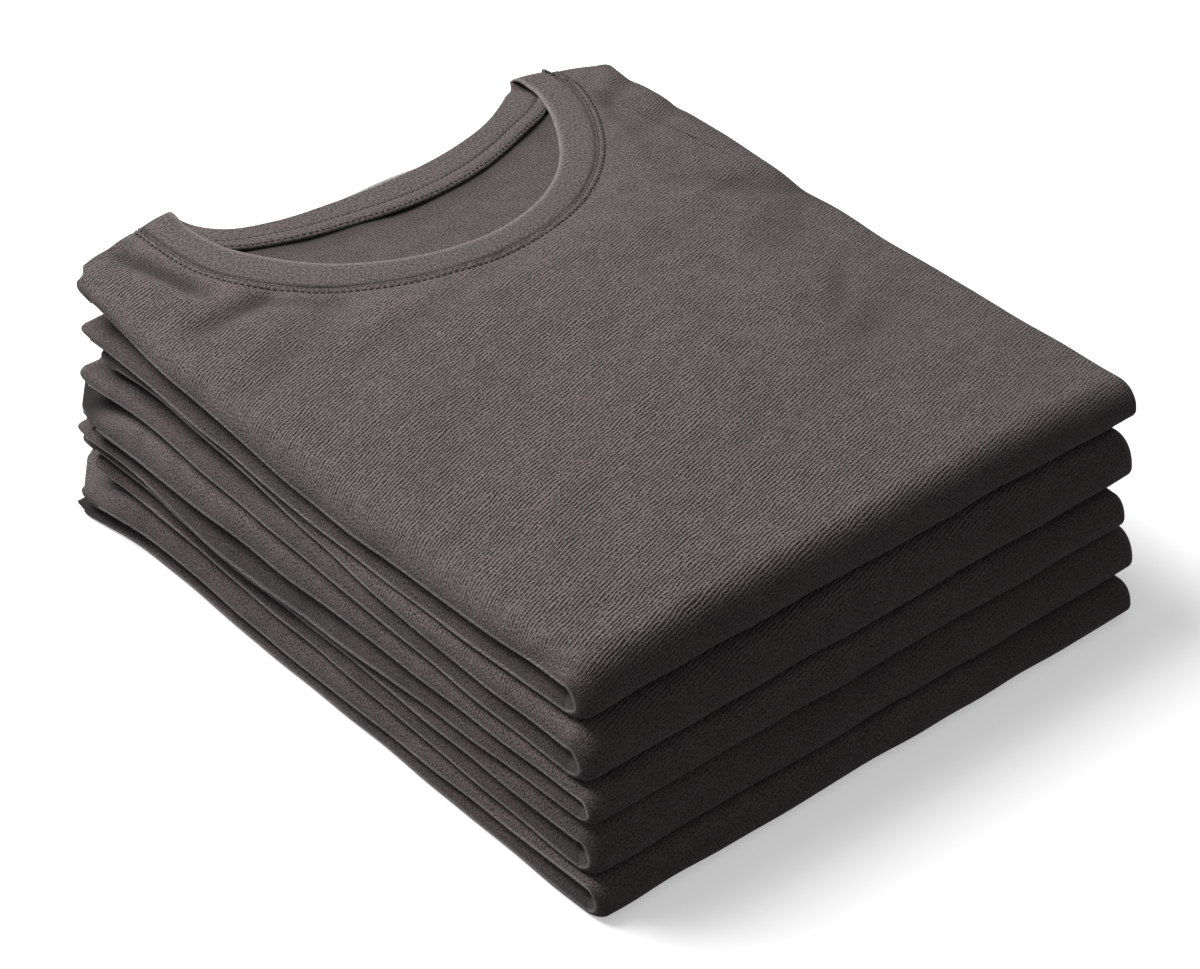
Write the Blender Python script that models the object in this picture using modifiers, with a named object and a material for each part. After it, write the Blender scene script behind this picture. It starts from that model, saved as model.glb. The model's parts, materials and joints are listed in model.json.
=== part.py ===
"""A stack of five folded crew-neck t-shirts, in metres, +Z up.

+Y runs from the fold end to the neck end, +X from the left long side to the right one. Each shirt is a strip,
its sides and sleeves turned in behind, folded in half with the neck on top. Sizes are in millimetres, measured
from the front left corner of the stack, and shape() turns them into metres about the stack's middle.
"""

import bmesh
import bpy
import numpy as np

# Driving dimensions, in millimetres
WALL = 1.2
SEAM_GAP = 0.3
COLLAR_GAP = 0.45
FLAT_COLLAR_GAP = 0.8
SHIRT_GAP = 0.3
NECK_CLEARANCE = 1.5
SIDE_SLOPE = 70.0
FLAP_GAP = 0.4
FLAP_WIDTH = 108.0
WIDTH = 300.0
SLEEVE_ROOM = 1.7
SLEEVE_START = 180.0
NECK_START = 240.0
CORNER_WIDTH = 50.0
LENGTH = 350.0
ENDS_START = 290.0
FLAP_END = 345.0
FLAP_START = 12.0
CORE_END = 343.0
HEM_CORNER = (12.0, 5.0)
SHOULDER_START = 10.0
RIGHT_SHOULDER_BACK = 3.0
BACK_PANEL_START = {1: 225.0, 2: 290.0, 3: 290.0, 4: 290.0, 5: 290.0}
BACK_PANEL_DEPTH = 2.5
CORE_GAP = 1.5
HOLLOW = 2.6
END_HOLLOW = 4.0
LOWER_HOLLOW = 1.0
THINNEST = 0.4
SIDE_ROOM = 0.4
SLOT_ROOM = 4.0
CREASE = 2.2
ROLL_DROOP = 0.32
STACK_MIDDLE = (150.5, 178.0)

# Where the shirts' fold ends and hems are, and how far their layers part at the neck end's left corner
SHIRTS = {
    # shirt: (fold end y, hem y, lift of the upper half's flap, drop of the lower half's, drop of the next shirt)
    1: (3.4, 352.0, 5.0, 6.0, 1.5),
    2: (-3.4, 354.0, 0.0, 0.5, 8.0),
    3: (-8.6, 351.0, 0.0, 0.5, 0.5),
    4: (-12.5, 352.0, 0.0, 0.5, 0.5),
    5: (-17.2, 348.0, 0.0, 6.0, 0.0),
}

# Heights of the surfaces between the ten half shirts, counted from the floor, along the left and right sides,
# at each of these distances from the front corner
SIDE_Y = (0.0, 60.0, 120.0, 180.0, 240.0, 290.0, 345.0)
LEFT_HEIGHTS = {
    "floor": (0.0, 0.0, 0.0, 0.0, 0.0, 0.0, 0.0),
    "shirt 5 middle": (11.0, 8.7, 7.2, 6.2, 6.4, 7.2, 12.5),
    "under shirt 4": (16.4, 17.0, 18.2, 18.0, 18.4, 23.0, 21.5),
    "shirt 4 middle": (28.4, 27.6, 26.5, 24.0, 24.5, 29.6, 29.0),
    "under shirt 3": (39.5, 37.0, 33.8, 30.2, 31.8, 37.7, 38.0),
    "shirt 3 middle": (47.0, 46.5, 46.0, 45.3, 45.5, 45.5, 45.0),
    "under shirt 2": (54.0, 55.0, 57.0, 59.0, 61.5, 64.0, 63.0),
    "shirt 2 middle": (66.0, 65.0, 66.5, 67.8, 71.0, 73.0, 71.5),
    "under shirt 1": (79.0, 76.0, 74.5, 74.8, 78.0, 81.5, 82.0),
    "shirt 1 middle": (91.0, 88.0, 85.5, 85.2, 89.5, 94.0, 95.0),
    "top": (101.5, 100.5, 99.0, 99.5, 102.0, 104.5, 109.0),
}
RIGHT_HEIGHTS = {
    "floor": (0.0, 0.0, 0.0, 0.0, 0.0, 0.0, 0.0),
    "shirt 5 middle": (9.0, 9.5, 10.0, 10.0, 10.5, 11.0, 11.0),
    "under shirt 4": (18.0, 19.0, 20.0, 20.5, 21.0, 22.0, 22.0),
    "shirt 4 middle": (29.5, 30.0, 30.0, 30.5, 31.5, 33.0, 33.0),
    "under shirt 3": (41.0, 40.5, 40.5, 41.0, 42.0, 43.0, 43.5),
    "shirt 3 middle": (50.0, 50.0, 49.5, 50.0, 51.0, 53.0, 53.5),
    "under shirt 2": (58.8, 58.0, 58.5, 59.5, 60.5, 62.0, 63.0),
    "shirt 2 middle": (71.0, 70.0, 70.0, 70.5, 71.5, 73.5, 74.5),
    "under shirt 1": (83.7, 82.0, 81.0, 81.0, 82.0, 84.0, 85.0),
    "shirt 1 middle": (94.0, 93.0, 92.5, 93.0, 95.0, 97.0, 98.0),
    "top": (101.5, 101.5, 102.0, 103.0, 105.0, 107.0, 108.5),
}
TOP_MIDDLE = (105.0, 108.0)

# Where each half shirt's left and right creases lie, at the same distances
LEFT_EDGES = {
    (1, "upper"): (2.0, 2.0, 2.0, 2.0, 2.0, 2.0, 5.0),
    (1, "lower"): (2.0, 2.0, 2.0, 2.0, 2.0, 2.0, 3.0),
    (2, "upper"): (-2.0, -1.8, -1.5, 2.0, 4.0, 5.5, 5.0),
    (2, "lower"): (-2.0, -2.0, -2.0, -2.0, -2.0, -1.5, -3.0),
    (3, "upper"): (-3.5, -4.5, -4.5, -5.0, -7.0, -7.5, -8.0),
    (3, "lower"): (-5.0, -5.0, -5.0, -5.0, -7.5, -7.0, -7.5),
    (4, "upper"): (-5.5, -5.5, -4.0, -2.0, -4.5, -4.5, -5.0),
    (4, "lower"): (-6.0, -6.0, -5.5, -4.5, -3.5, -5.0, -5.5),
    (5, "upper"): (-7.4, -7.4, -7.4, -8.2, -8.4, -8.5, -12.5),
    (5, "lower"): (-7.4, -8.0, -7.8, -8.4, -8.0, -7.0, -12.5),
}
RIGHT_EDGES = {
    (1, "upper"): (305.5, 307.0, 308.0, 309.0, 311.0, 312.0, 312.0),
    (1, "lower"): (305.5, 304.0, 306.0, 307.5, 308.0, 309.0, 308.0),
    (2, "upper"): (299.0, 301.0, 303.0, 304.0, 303.0, 303.0, 304.0),
    (2, "lower"): (299.0, 300.5, 302.5, 304.5, 305.0, 304.5, 303.0),
    (3, "upper"): (290.5, 294.0, 299.0, 300.0, 300.0, 299.0, 299.0),
    (3, "lower"): (290.5, 295.0, 300.0, 301.5, 301.0, 300.0, 300.5),
    (4, "upper"): (295.0, 297.0, 300.0, 300.5, 301.0, 302.0, 302.0),
    (4, "lower"): (295.0, 298.0, 302.0, 301.5, 300.0, 300.0, 301.0),
    (5, "upper"): (291.0, 294.5, 298.0, 300.0, 300.5, 300.0, 299.0),
    (5, "lower"): (291.0, 295.5, 300.0, 301.0, 302.0, 302.0, 301.0),
}

# The neck: a row for each section of the rib band, clockwise from the left shoulder's tip. The seam is sewn to
# the body and the rim is the band's free edge; a lift is a height over the shirt's top surface.
COLLAR_SECTIONS = (
    # (seam x, seam y, seam lift, rim x, rim y, rim lift)
    (51.0, 370.0, -0.3, 68.0, 373.0, 0.2),
    (50.5, 350.0, 0.0, 66.5, 355.0, 0.5),
    (52.5, 327.0, 0.0, 69.0, 334.0, 0.5),
    (64.0, 301.0, 0.0, 80.0, 312.0, 0.4),
    (87.0, 276.0, 0.0, 98.5, 290.0, 0.4),
    (122.0, 258.5, 0.0, 129.0, 272.5, 0.4),
    (166.0, 252.0, 0.0, 167.5, 266.0, 0.4),
    (208.0, 261.0, 0.0, 202.5, 274.5, 0.4),
    (243.0, 284.0, 0.0, 231.5, 295.0, 0.4),
    (264.0, 309.5, 0.0, 249.5, 319.0, 0.4),
    (277.0, 335.0, 0.0, 260.5, 340.5, 0.5),
    (281.5, 353.0, 0.0, 265.0, 356.5, 0.5),
    (281.0, 366.0, -0.3, 264.0, 369.5, 0.2),
    (260.0, 348.5, -4.3, 253.0, 361.5, -3.6),
    (238.0, 338.0, -3.9, 232.5, 348.5, -3.1),
    (206.0, 325.5, -3.7, 205.0, 339.0, -3.0),
    (168.0, 319.5, -3.7, 169.5, 334.0, -3.0),
    (128.0, 323.0, -3.7, 131.0, 334.5, -3.0),
    (97.0, 329.5, -3.9, 101.0, 338.5, -3.1),
    (72.0, 341.0, -4.3, 80.0, 348.5, -3.6),
)
FRONT_SECTIONS = 12
FLAT_COLLAR_LIFT = -0.2
TIP_ROOM = (20.0, 6.0)

# The shoulders' roll past the neck end, a step at a time
SHOULDER_ROLL = (
    # (forward, drop)
    (1.6, 0.8),
    (2.2, 2.6),
    (1.2, 4.4),
)
BETWEEN_FLAPS = (2.6, 3.4)
TAPE_WALL = 1.0
TAPE_WIDTH = 10.0

# The sleeves, turned in with the sides
SLEEVE_HALF = 1.35
SLEEVE_ROWS = (
    # (y, distance in from the side, width)
    (265.0, 17.0, 78.0),
    (290.0, 12.0, 86.0),
    (308.0, 10.0, 90.0),
    (327.0, 10.0, 90.0),
    (342.0, 12.0, 84.0),
)

PLAIN = {"round_steps": (2, 2), "roll_steps": 6, "shoulder": 1, "neck": 4, "nape": 4, "rows": (60.0,)}
FINE = {"round_steps": (2, 4), "roll_steps": 8, "shoulder": 2, "neck": 12, "nape": 8, "rows": (60.0,)}
DETAIL = {1: FINE, 2: PLAIN, 3: PLAIN, 4: PLAIN, 5: PLAIN}
SHARED_ROWS = (350.0, 330.0, 310.0, 290.0, 265.0, 240.0, 180.0, 120.0)

CLOTH_COLOURS = {
    "front_panel": (0.105, 0.098, 0.095),
    "back_panel": (0.085, 0.079, 0.077),
    "collar": (0.115, 0.107, 0.104),
    "neck_tape": (0.095, 0.088, 0.086),
    "sleeve_left": (0.100, 0.093, 0.090),
    "sleeve_right": (0.100, 0.093, 0.090),
    "hidden_layers": (0.060, 0.056, 0.055),
}


def curve_through(at, places, values):
    """A smooth curve through a short row of values: the cubic through each pair, with the slope at a value taken
    from its neighbours on both sides."""
    places, values = np.asarray(places), np.asarray(values, dtype=float)
    slopes = np.gradient(values, places)
    at = np.clip(at, places[0], places[-1])
    left = np.clip(np.searchsorted(places, at, side="right") - 1, 0, len(places) - 2)
    step = places[left + 1] - places[left]
    t = (at - places[left]) / step
    return (
        (2 * t**3 - 3 * t**2 + 1) * values[left]
        + (t**3 - 2 * t**2 + t) * step * slopes[left]
        + (3 * t**2 - 2 * t**3) * values[left + 1]
        + (t**3 - t**2) * step * slopes[left + 1]
    )


def ramp(value, start, end):
    """0 before start, 1 past end, and an S-shaped step between."""
    t = np.clip((value - start) / (end - start), 0, 1)
    return t * t * (3 - 2 * t)


def layer_height(layer, x, y):
    """The surface called layer: straight across from the left side's height to the right side's. The top is level
    across its middle instead, and slopes to its sides within SIDE_SLOPE of them."""
    left = curve_through(y, SIDE_Y, LEFT_HEIGHTS[layer])
    right = curve_through(y, SIDE_Y, RIGHT_HEIGHTS[layer])
    if layer != "top":
        return left + (right - left) * np.clip(x / WIDTH, 0, 1)
    fold_end, neck_end = TOP_MIDDLE
    middle = fold_end + (neck_end - fold_end) * np.clip(y / LENGTH, 0, 1)
    near_left = 1 - np.clip(x / SIDE_SLOPE, 0, 1)
    near_right = 1 - np.clip((WIDTH - x) / SIDE_SLOPE, 0, 1)
    return middle + (left - middle) * near_left**2 + (right - middle) * near_right**2


def corner_share(x, y):
    """1 at the neck end's left corner, falling to 0 within a hand's width."""
    return ramp(y, ENDS_START, LENGTH) * (1 - ramp(x, 0.0, CORNER_WIDTH))


def half_heights(shirt, half, x, y, inset=0.0):
    """(outer, inner) heights of a half shirt: its skin's outside, and its flap's face at the shirt's middle. An
    inset moves both into the cloth between them."""
    _, _, flap_lift, flap_drop, _ = SHIRTS[shirt]
    room = FLAP_GAP + SLEEVE_ROOM * ramp(y, SLEEVE_START, NECK_START)
    middle = layer_height(f"shirt {shirt} middle", x, y)
    corner = corner_share(x, y)
    if half == "lower":
        below = "floor" if shirt == 5 else f"under shirt {shirt}"
        lift = 0.0 if shirt == 5 else SHIRT_GAP
        return layer_height(below, x, y) + lift + inset, middle - room - flap_drop * corner - inset
    inner = middle + room + flap_lift * corner + inset
    if shirt == 1:
        return layer_height("top", x, y) - inset, inner
    drop = SHIRTS[shirt - 1][4] * corner
    drop += NECK_CLEARANCE * np.clip((y - SLEEVE_START) / (NECK_START - SLEEVE_START), 0, 1)
    return layer_height(f"under shirt {shirt - 1}", x, y) - SHIRT_GAP - drop - inset, inner


def shoulder_end(inwards):
    """How far the upper half reaches at a distance in from its side: a rounded corner, then a sloping shoulder."""
    return 346.0 + 20.0 * (1 - np.exp(-inwards / 11.0)) + 0.07 * inwards


def hem_end(hem, inwards):
    """How far the lower half reaches: a straight hem with rounded corners."""
    depth, width = HEM_CORNER
    return hem - depth * np.exp(-inwards / width)


def neckline():
    """The seam of the neck as two arrays of x and y, from the left shoulder's tip round the front to the right."""
    front = np.array(COLLAR_SECTIONS)[: FRONT_SECTIONS + 1]
    return front[:, 0], front[:, 1]


def flat_columns(shirt, row_y, left, right, end_line):
    """(x, y) of the columns between the rounded sides, in the row that passes the sides at row_y. Past NECK_START
    each column bends towards its own point of the outline at the neck end."""
    detail = DETAIL[shirt]
    side, neck = detail["shoulder"], detail["neck"]
    share = np.linspace(0, 1, side + 1)[1:]
    neck_t = np.linspace(0, FRONT_SECTIONS, neck + 1)
    seam_x, seam_y = neckline()
    sections = np.arange(FRONT_SECTIONS + 1)
    neck_x = curve_through(neck_t, sections, seam_x)
    neck_y = curve_through(neck_t, sections, seam_y)
    start_x = left + (neck_x[0] - left) * share[:-1]
    finish_x = neck_x[-1] + (right - neck_x[-1]) * share[:-1]
    left_tip, right_tip = left + TIP_ROOM[0], right - TIP_ROOM[1]
    spread = left_tip + (neck_x - neck_x[0]) * (right_tip - left_tip) / (neck_x[-1] - neck_x[0])
    base = np.concatenate([
        left + (left_tip - left) * share[:-1],
        0.5 * (spread + np.linspace(left_tip, right_tip, neck + 1)),
        right_tip + (right - right_tip) * share[:-1],
    ])
    if row_y <= NECK_START or end_line is None:
        return base, np.full(len(base), row_y)
    end_x = np.concatenate([start_x, neck_x, finish_x])
    end_y = np.concatenate([
        end_line(start_x - left + SHOULDER_START),
        neck_y,
        end_line(right - finish_x + SHOULDER_START) - RIGHT_SHOULDER_BACK,
    ])
    along = (row_y - NECK_START) / (LENGTH - NECK_START)
    return base + (end_x - base) * along, NECK_START + (end_y - NECK_START) * along


def side_profile(soft, protrusion, outer_reach, inner_reach):
    """(distance in from the crease, depth) down a rounded side, from the flap's free edge to the flat: two
    quarter ellipses that meet at the crease, and the flap behind them."""
    inner_steps, outer_steps = soft
    phi = np.linspace(0, np.pi / 2, inner_steps + 1)
    theta = np.linspace(0, np.pi / 2, outer_steps + 1)[1:]
    inwards = np.concatenate([
        [FLAP_WIDTH],
        inner_reach * (1 - np.sin(phi)),
        outer_reach * (1 - np.cos(theta)),
    ])
    depth = np.concatenate([
        [1.0],
        protrusion + (1 - protrusion) * np.cos(phi),
        protrusion * (1 - np.sin(theta)),
    ])
    return inwards, depth


def row_stations(shirt):
    """The rows of a folded strip, from the neck end over the top, round the roll and back to the hem, as
    (turn, y): turn goes from 0 on the top half to 1 on the bottom half."""
    start = SHIRTS[shirt][0] + roll_radius(shirt)
    flat = [*SHARED_ROWS, *DETAIL[shirt]["rows"], start]
    turns = np.linspace(0, 1, DETAIL[shirt]["roll_steps"] + 1)[1:-1]
    return [(0.0, y) for y in flat] + [(t, start) for t in turns] + [(1.0, y) for y in flat[::-1]]


def roll_radius(shirt):
    """The reach of the roll at the fold end, from the shirt's thickness there."""
    upper = half_heights(shirt, "upper", WIDTH / 2, 10.0)[0]
    lower = half_heights(shirt, "lower", WIDTH / 2, 10.0)[0]
    return float(np.clip(0.55 * (upper - lower), 8.0, 14.0))


def side_shape(shirt, turn, edge, row_y, inset):
    """side_profile at the crease x = edge of one row, with the inset used there: round outside and tight inside
    on the top half, the other way round on the bottom half."""
    outer_top, inner_top = half_heights(shirt, "upper", edge, row_y)
    outer_low, inner_low = half_heights(shirt, "lower", edge, row_y)
    upper_height, lower_height = outer_top - inner_top, inner_low - outer_low
    height = upper_height + (lower_height - upper_height) * turn
    tight = np.clip(CREASE / height, 0.2, 0.5)
    gentle = min(10.0, 0.8 * height)
    protrusion = (1 - tight) + (2 * tight - 1) * turn
    outer_reach = gentle + (CREASE - gentle) * turn
    inner_reach = CREASE + (gentle - CREASE) * turn
    if not inset:
        return *side_profile(DETAIL[shirt]["round_steps"], protrusion, outer_reach, inner_reach), 0.0
    inset = min(inset + SIDE_ROOM, (height - THINNEST) / 2)
    protrusion = np.clip((protrusion * height - inset) / (height - 2 * inset), 0.04, 0.96)
    outer_reach, inner_reach = (max(reach - inset, 0.5) for reach in (outer_reach, inner_reach))
    inwards, depth = side_profile(DETAIL[shirt]["round_steps"], protrusion, outer_reach, inner_reach)
    inwards[0] += SLOT_ROOM
    return inwards + inset, depth, inset


def strip_row(shirt, turn, row_y, end_line=None, inset=0.0):
    """The points of one row of the folded strip, from the left flap's free edge to the right one's. With an
    end_line the row follows the shirt's own outline at the neck end, and without one it stays straight. An inset
    shrinks the strip's section."""
    hem = SHIRTS[shirt][1]
    left, right = (
        (1 - turn) * curve_through(row_y, SIDE_Y, table[shirt, "upper"])
        + turn * curve_through(row_y, SIDE_Y, table[shirt, "lower"])
        for table in (LEFT_EDGES, RIGHT_EDGES)
    )
    from_left, left_depth, left_inset = side_shape(shirt, turn, left, row_y, inset)
    from_right, right_depth, right_inset = side_shape(shirt, turn, right, row_y, inset)
    bend = end_line if turn < 1.0 else None
    flat_x, flat_y = flat_columns(shirt, row_y, left + from_left[-1], right - from_right[-1], bend)
    x = np.concatenate([left + from_left, flat_x, right - from_right[::-1]])
    depth = np.concatenate([left_depth, np.zeros(len(flat_x)), right_depth[::-1]])
    side = len(from_left)
    insets = np.full(len(x), inset)
    insets[:side], insets[-side:] = left_inset, right_inset
    y = np.full(len(x), float(row_y))
    y[side:-side] = flat_y
    if row_y > ENDS_START:
        share = (row_y - ENDS_START) / (LENGTH - ENDS_START)
        if end_line is None:
            y[:] = ENDS_START + (CORE_END - ENDS_START) * share
            return fold_points(shirt, turn, x, y, depth, insets)
        if turn == 1.0:
            y[:] = ENDS_START + (hem - ENDS_START) * share
        for inwards, place in ((from_left, slice(0, side)), (from_right, slice(None, -side - 1, -1))):
            ends = end_line(inwards) if turn == 0.0 else hem_end(hem, inwards)
            ends = np.where(inwards > FLAP_START, FLAP_END, ends)
            y[place] = ENDS_START + (ends - ENDS_START) * share
    return fold_points(shirt, turn, x, y, depth, insets)


def fold_points(shirt, turn, x, y, depth, inset):
    """Each point at its depth below the outer skin. On the halves depth runs straight up or down, and in the roll
    it runs towards the roll's axis."""
    half = "upper" if turn < 1.0 else "lower"
    fold_end = SHIRTS[shirt][0] + inset
    if turn in (0.0, 1.0):
        outer, inner = half_heights(shirt, half, x, y, inset)
        return np.stack([x, y, outer + (inner - outer) * depth], axis=-1)
    top, inner_top = half_heights(shirt, "upper", x, y, inset)
    low, inner_low = half_heights(shirt, "lower", x, y, inset)
    middle = (inner_top + inner_low) / 2
    small = (inner_top - inner_low) / 2
    belly = low + ROLL_DROOP * (top - low)
    angle = np.pi * turn
    swing = np.cos(angle)
    outer_z = belly + np.where(swing > 0, (top - belly) * swing, (belly - low) * swing)
    outer_y = y - (y - fold_end) * np.sin(angle)
    away = np.stack([outer_y - y, outer_z - middle], axis=-1)
    away /= np.linalg.norm(away, axis=-1, keepdims=True)
    inner_y = y + away[:, 0] * small
    inner_z = middle + away[:, 1] * small
    return np.stack([
        x,
        inner_y + (outer_y - inner_y) * (1 - depth),
        inner_z + (outer_z - inner_z) * (1 - depth),
    ], axis=-1)


def strip_grid(shirt, end_line=None, inset=0.0):
    return np.array([strip_row(shirt, turn, y, end_line, inset) for turn, y in row_stations(shirt)])


def grid_faces(rows, columns):
    index = np.arange(rows * columns).reshape(rows, columns)
    return np.stack([index[:-1, :-1], index[1:, :-1], index[1:, 1:], index[:-1, 1:]], axis=-1).reshape(-1, 4)


def metres(points):
    """Points in metres about the middle of the stack's base."""
    moved = np.asarray(points, dtype=float).reshape(-1, 3) - (*STACK_MIDDLE, 0.0)
    return moved / 1000.0


def cloth_material(name, colour):
    material = bpy.data.materials.new(name)
    material.use_nodes = True
    shader = material.node_tree.nodes["Principled BSDF"]
    shader.inputs["Base Color"].default_value = (*colour, 1.0)
    shader.inputs["Roughness"].default_value = 0.92
    shader.inputs["Metallic"].default_value = 0.0
    return material


def shape(name, points, faces, collection):
    mesh = bpy.data.meshes.new(name)
    mesh.from_pydata(metres(points).tolist(), [], [list(map(int, face)) for face in faces])
    mesh.shade_smooth()
    obj = bpy.data.objects.new(name, mesh)
    collection.objects.link(obj)
    piece = name.split("_", 2)[2]
    mesh.materials.append(cloth_material(name, CLOTH_COLOURS[piece]))
    return obj


def cloth(name, grid, collection, wall=WALL, closed=False):
    """A grid of points as a sheet, its wall grown inwards from the side that its faces show."""
    rows, columns = grid.shape[:2]
    if closed:
        index = np.arange(rows * columns).reshape(rows, columns)
        index = np.vstack([index, index[:1]])
        faces = np.stack(
            [index[:-1, :-1], index[1:, :-1], index[1:, 1:], index[:-1, 1:]], axis=-1
        ).reshape(-1, 4)
    else:
        faces = grid_faces(rows, columns)
    return cloth_of(name, grid, faces, collection, wall)


def cloth_of(name, points, faces, collection, wall=WALL):
    obj = shape(name, points, faces, collection)
    solidify = obj.modifiers.new("wall", "SOLIDIFY")
    solidify.thickness = wall / 1000.0
    solidify.offset = -1.0
    return obj


def front_panel(shirt, collection):
    """The strip's outer sheet with the side flaps, and past its end the shoulders, which roll down over it."""
    grid = strip_grid(shirt, shoulder_end)
    rolled = np.array([shoulder_row(shirt, grid[0], *place) for place in SHOULDER_ROLL[::-1]])
    rows, columns = grid.shape[:2]
    crease = 1 + DETAIL[shirt]["round_steps"][0]
    tip = sum(DETAIL[shirt]["round_steps"]) + 1 + DETAIL[shirt]["shoulder"]
    faces = grid_faces(rows + len(rolled), columns).reshape(-1, columns - 1, 4)
    column = np.arange(columns - 1)
    on_shoulder = (column >= crease) & (column < columns - 1 - crease)
    on_shoulder &= (column < tip) | (column > columns - 2 - tip)
    faces = np.concatenate([faces[: len(rolled), on_shoulder].reshape(-1, 4), faces[len(rolled) :].reshape(-1, 4)])
    used = np.unique(faces)
    points = np.vstack([rolled, grid]).reshape(-1, 3)[used]
    cloth_of(f"shirt_{shirt}_front_panel", points, np.searchsorted(used, faces), collection)


def shoulder_row(shirt, end, forward, drop):
    """The neck end's row moved out and down by one step of the shoulders' roll, less where it is folded already."""
    top, inner = half_heights(shirt, "upper", end[:, 0], end[:, 1])
    share = np.clip((end[:, 2] - inner) / (top - inner), 0, 1)
    step = np.stack([np.zeros(len(end)), forward * share, -np.minimum(drop, 0.8 * (top - inner)) * share], axis=-1)
    return end + step


def neck_hollow(shirt, x, y):
    """How much lower the hidden layers lie under the front panel than they could: room for the back panel on the
    top shirt, more towards its end, and for the collar on the others, where the cloth is thick enough."""
    top, inner = half_heights(shirt, "upper", x, y, CORE_GAP)
    deeper = END_HOLLOW * ramp(y, ENDS_START, CORE_END) * ramp(x, CORNER_WIDTH, FLAP_WIDTH)
    return np.clip(top - inner - THINNEST, 0.0, HOLLOW + deeper if shirt == 1 else LOWER_HOLLOW)


def hidden_layers(shirt, collection):
    """The folded layers inside as one rounded solid: the strip's own form, offset inwards, with a slot on each
    side for the flaps and a flat end at the neck."""
    grid = strip_grid(shirt, inset=CORE_GAP)
    rows, columns = grid.shape[:2]
    side = sum(DETAIL[shirt]["round_steps"]) + 2
    for row, (turn, _) in zip(grid, row_stations(shirt)):
        if turn == 0.0:
            row[side:-side, 2] -= neck_hollow(shirt, row[side:-side, 0], row[side:-side, 1])
    index = np.arange(rows * columns).reshape(rows, columns)
    faces = [list(face) for face in grid_faces(rows, columns)]
    middle = rows // 2
    for column, step in ((0, 1), (columns - 1, -1)):
        for i in range(middle):
            a, b = index[i, column], index[i + 1, column]
            c, d = index[rows - 2 - i, column], index[rows - 1 - i, column]
            face = [a, d, c, b] if b != c else [a, d, b]
            faces.append(face[::step])
    faces.append(list(index[0, ::1]) + list(index[-1, ::-1]))
    obj = shape(f"shirt_{shirt}_hidden_layers", grid, faces, collection)
    mesh = bmesh.new()
    mesh.from_mesh(obj.data)
    bmesh.ops.triangulate(mesh, faces=[f for f in mesh.faces if len(f.verts) > 4])
    bmesh.ops.recalc_face_normals(mesh, faces=mesh.faces)
    if mesh.calc_volume(signed=True) < 0:
        bmesh.ops.reverse_faces(mesh, faces=mesh.faces)
    mesh.to_mesh(obj.data)
    mesh.free()


def top_surface(shirt, x, y):
    return half_heights(shirt, "upper", x, y)[0]


def collar_table(shirt):
    """The neck's sections at the shirt's own resolution, on a closed smooth curve."""
    sections = np.array(COLLAR_SECTIONS)
    count = len(sections)
    around = np.vstack([sections[-2:], sections, sections[:3]])
    front = np.linspace(0, FRONT_SECTIONS, DETAIL[shirt]["neck"] + 1)
    nape = np.linspace(FRONT_SECTIONS, count, DETAIL[shirt]["nape"] + 1)[1:-1]
    places = np.arange(-2, count + 3)
    t = np.concatenate([front, nape])
    return np.stack([curve_through(t, places, around[:, i]) for i in range(6)], axis=-1)


def collar(shirt, collection):
    """The rib band, a ring of sections from the seam to the rim."""
    table = collar_table(shirt)
    share = np.array([0.0, 0.3, 0.7, 1.0]) if shirt == 1 else np.array([0.0, 1.0])
    seam, rim = table[:, :3], table[:, 3:]
    if shirt > 1:
        seam[:, 2] = rim[:, 2] = FLAT_COLLAR_LIFT
    towards = rim - seam
    towards /= np.linalg.norm(towards[:, :2], axis=-1, keepdims=True)
    seam[:, :2] += (COLLAR_GAP if shirt == 1 else FLAT_COLLAR_GAP) * towards[:, :2]
    grid = seam[:, None] + (rim - seam)[:, None] * share[None, :, None]
    grid[..., 2] += top_surface(shirt, grid[..., 0], grid[..., 1])
    cloth(f"shirt_{shirt}_collar", grid, collection, closed=True)


def back_neckline(shirt):
    """The back neck seam as x and y, from left to right: all of it on the top shirt, and what lies between the
    flaps on the others."""
    back = np.array(COLLAR_SECTIONS)[FRONT_SECTIONS + 1 :][::-1]
    places = np.arange(len(back))
    t = places if shirt == 1 else np.linspace(*BETWEEN_FLAPS, 3)
    return [curve_through(t, places, back[:, i]) for i in (0, 1)]


def back_surface(shirt, x, y):
    """The back panel's height: under the front on the top shirt, and flush with it on the pressed ones below."""
    return top_surface(shirt, x, y) - (BACK_PANEL_DEPTH if shirt == 1 else 0.0)


def back_panel(shirt, collection):
    """The back of the body where it shows in the neck, just under the front, ending at its own neckline."""
    start = BACK_PANEL_START[shirt]
    end_x, end_y = back_neckline(shirt)
    rows = []
    for share in np.linspace(0, 1, 4):
        y = start + (end_y - SEAM_GAP - start) * share
        rows.append(np.stack([end_x, y, back_surface(shirt, end_x, y)], axis=-1))
    cloth(f"shirt_{shirt}_back_panel", np.array(rows)[::-1], collection)


def neck_tape(shirt, collection):
    """A strip over the back neck seam, lying on the back panel."""
    seam_x, seam_y = back_neckline(shirt)
    if shirt == 1:
        seam_x, seam_y = seam_x[1:-1], seam_y[1:-1]
    rows = []
    for back in (0.6, TAPE_WIDTH):
        y = seam_y - back
        z = back_surface(shirt, seam_x, y) + TAPE_WALL + SEAM_GAP
        rows.append(np.stack([seam_x, y, z], axis=-1))
    cloth(f"shirt_{shirt}_neck_tape", np.array(rows), collection, wall=TAPE_WALL)


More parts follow.
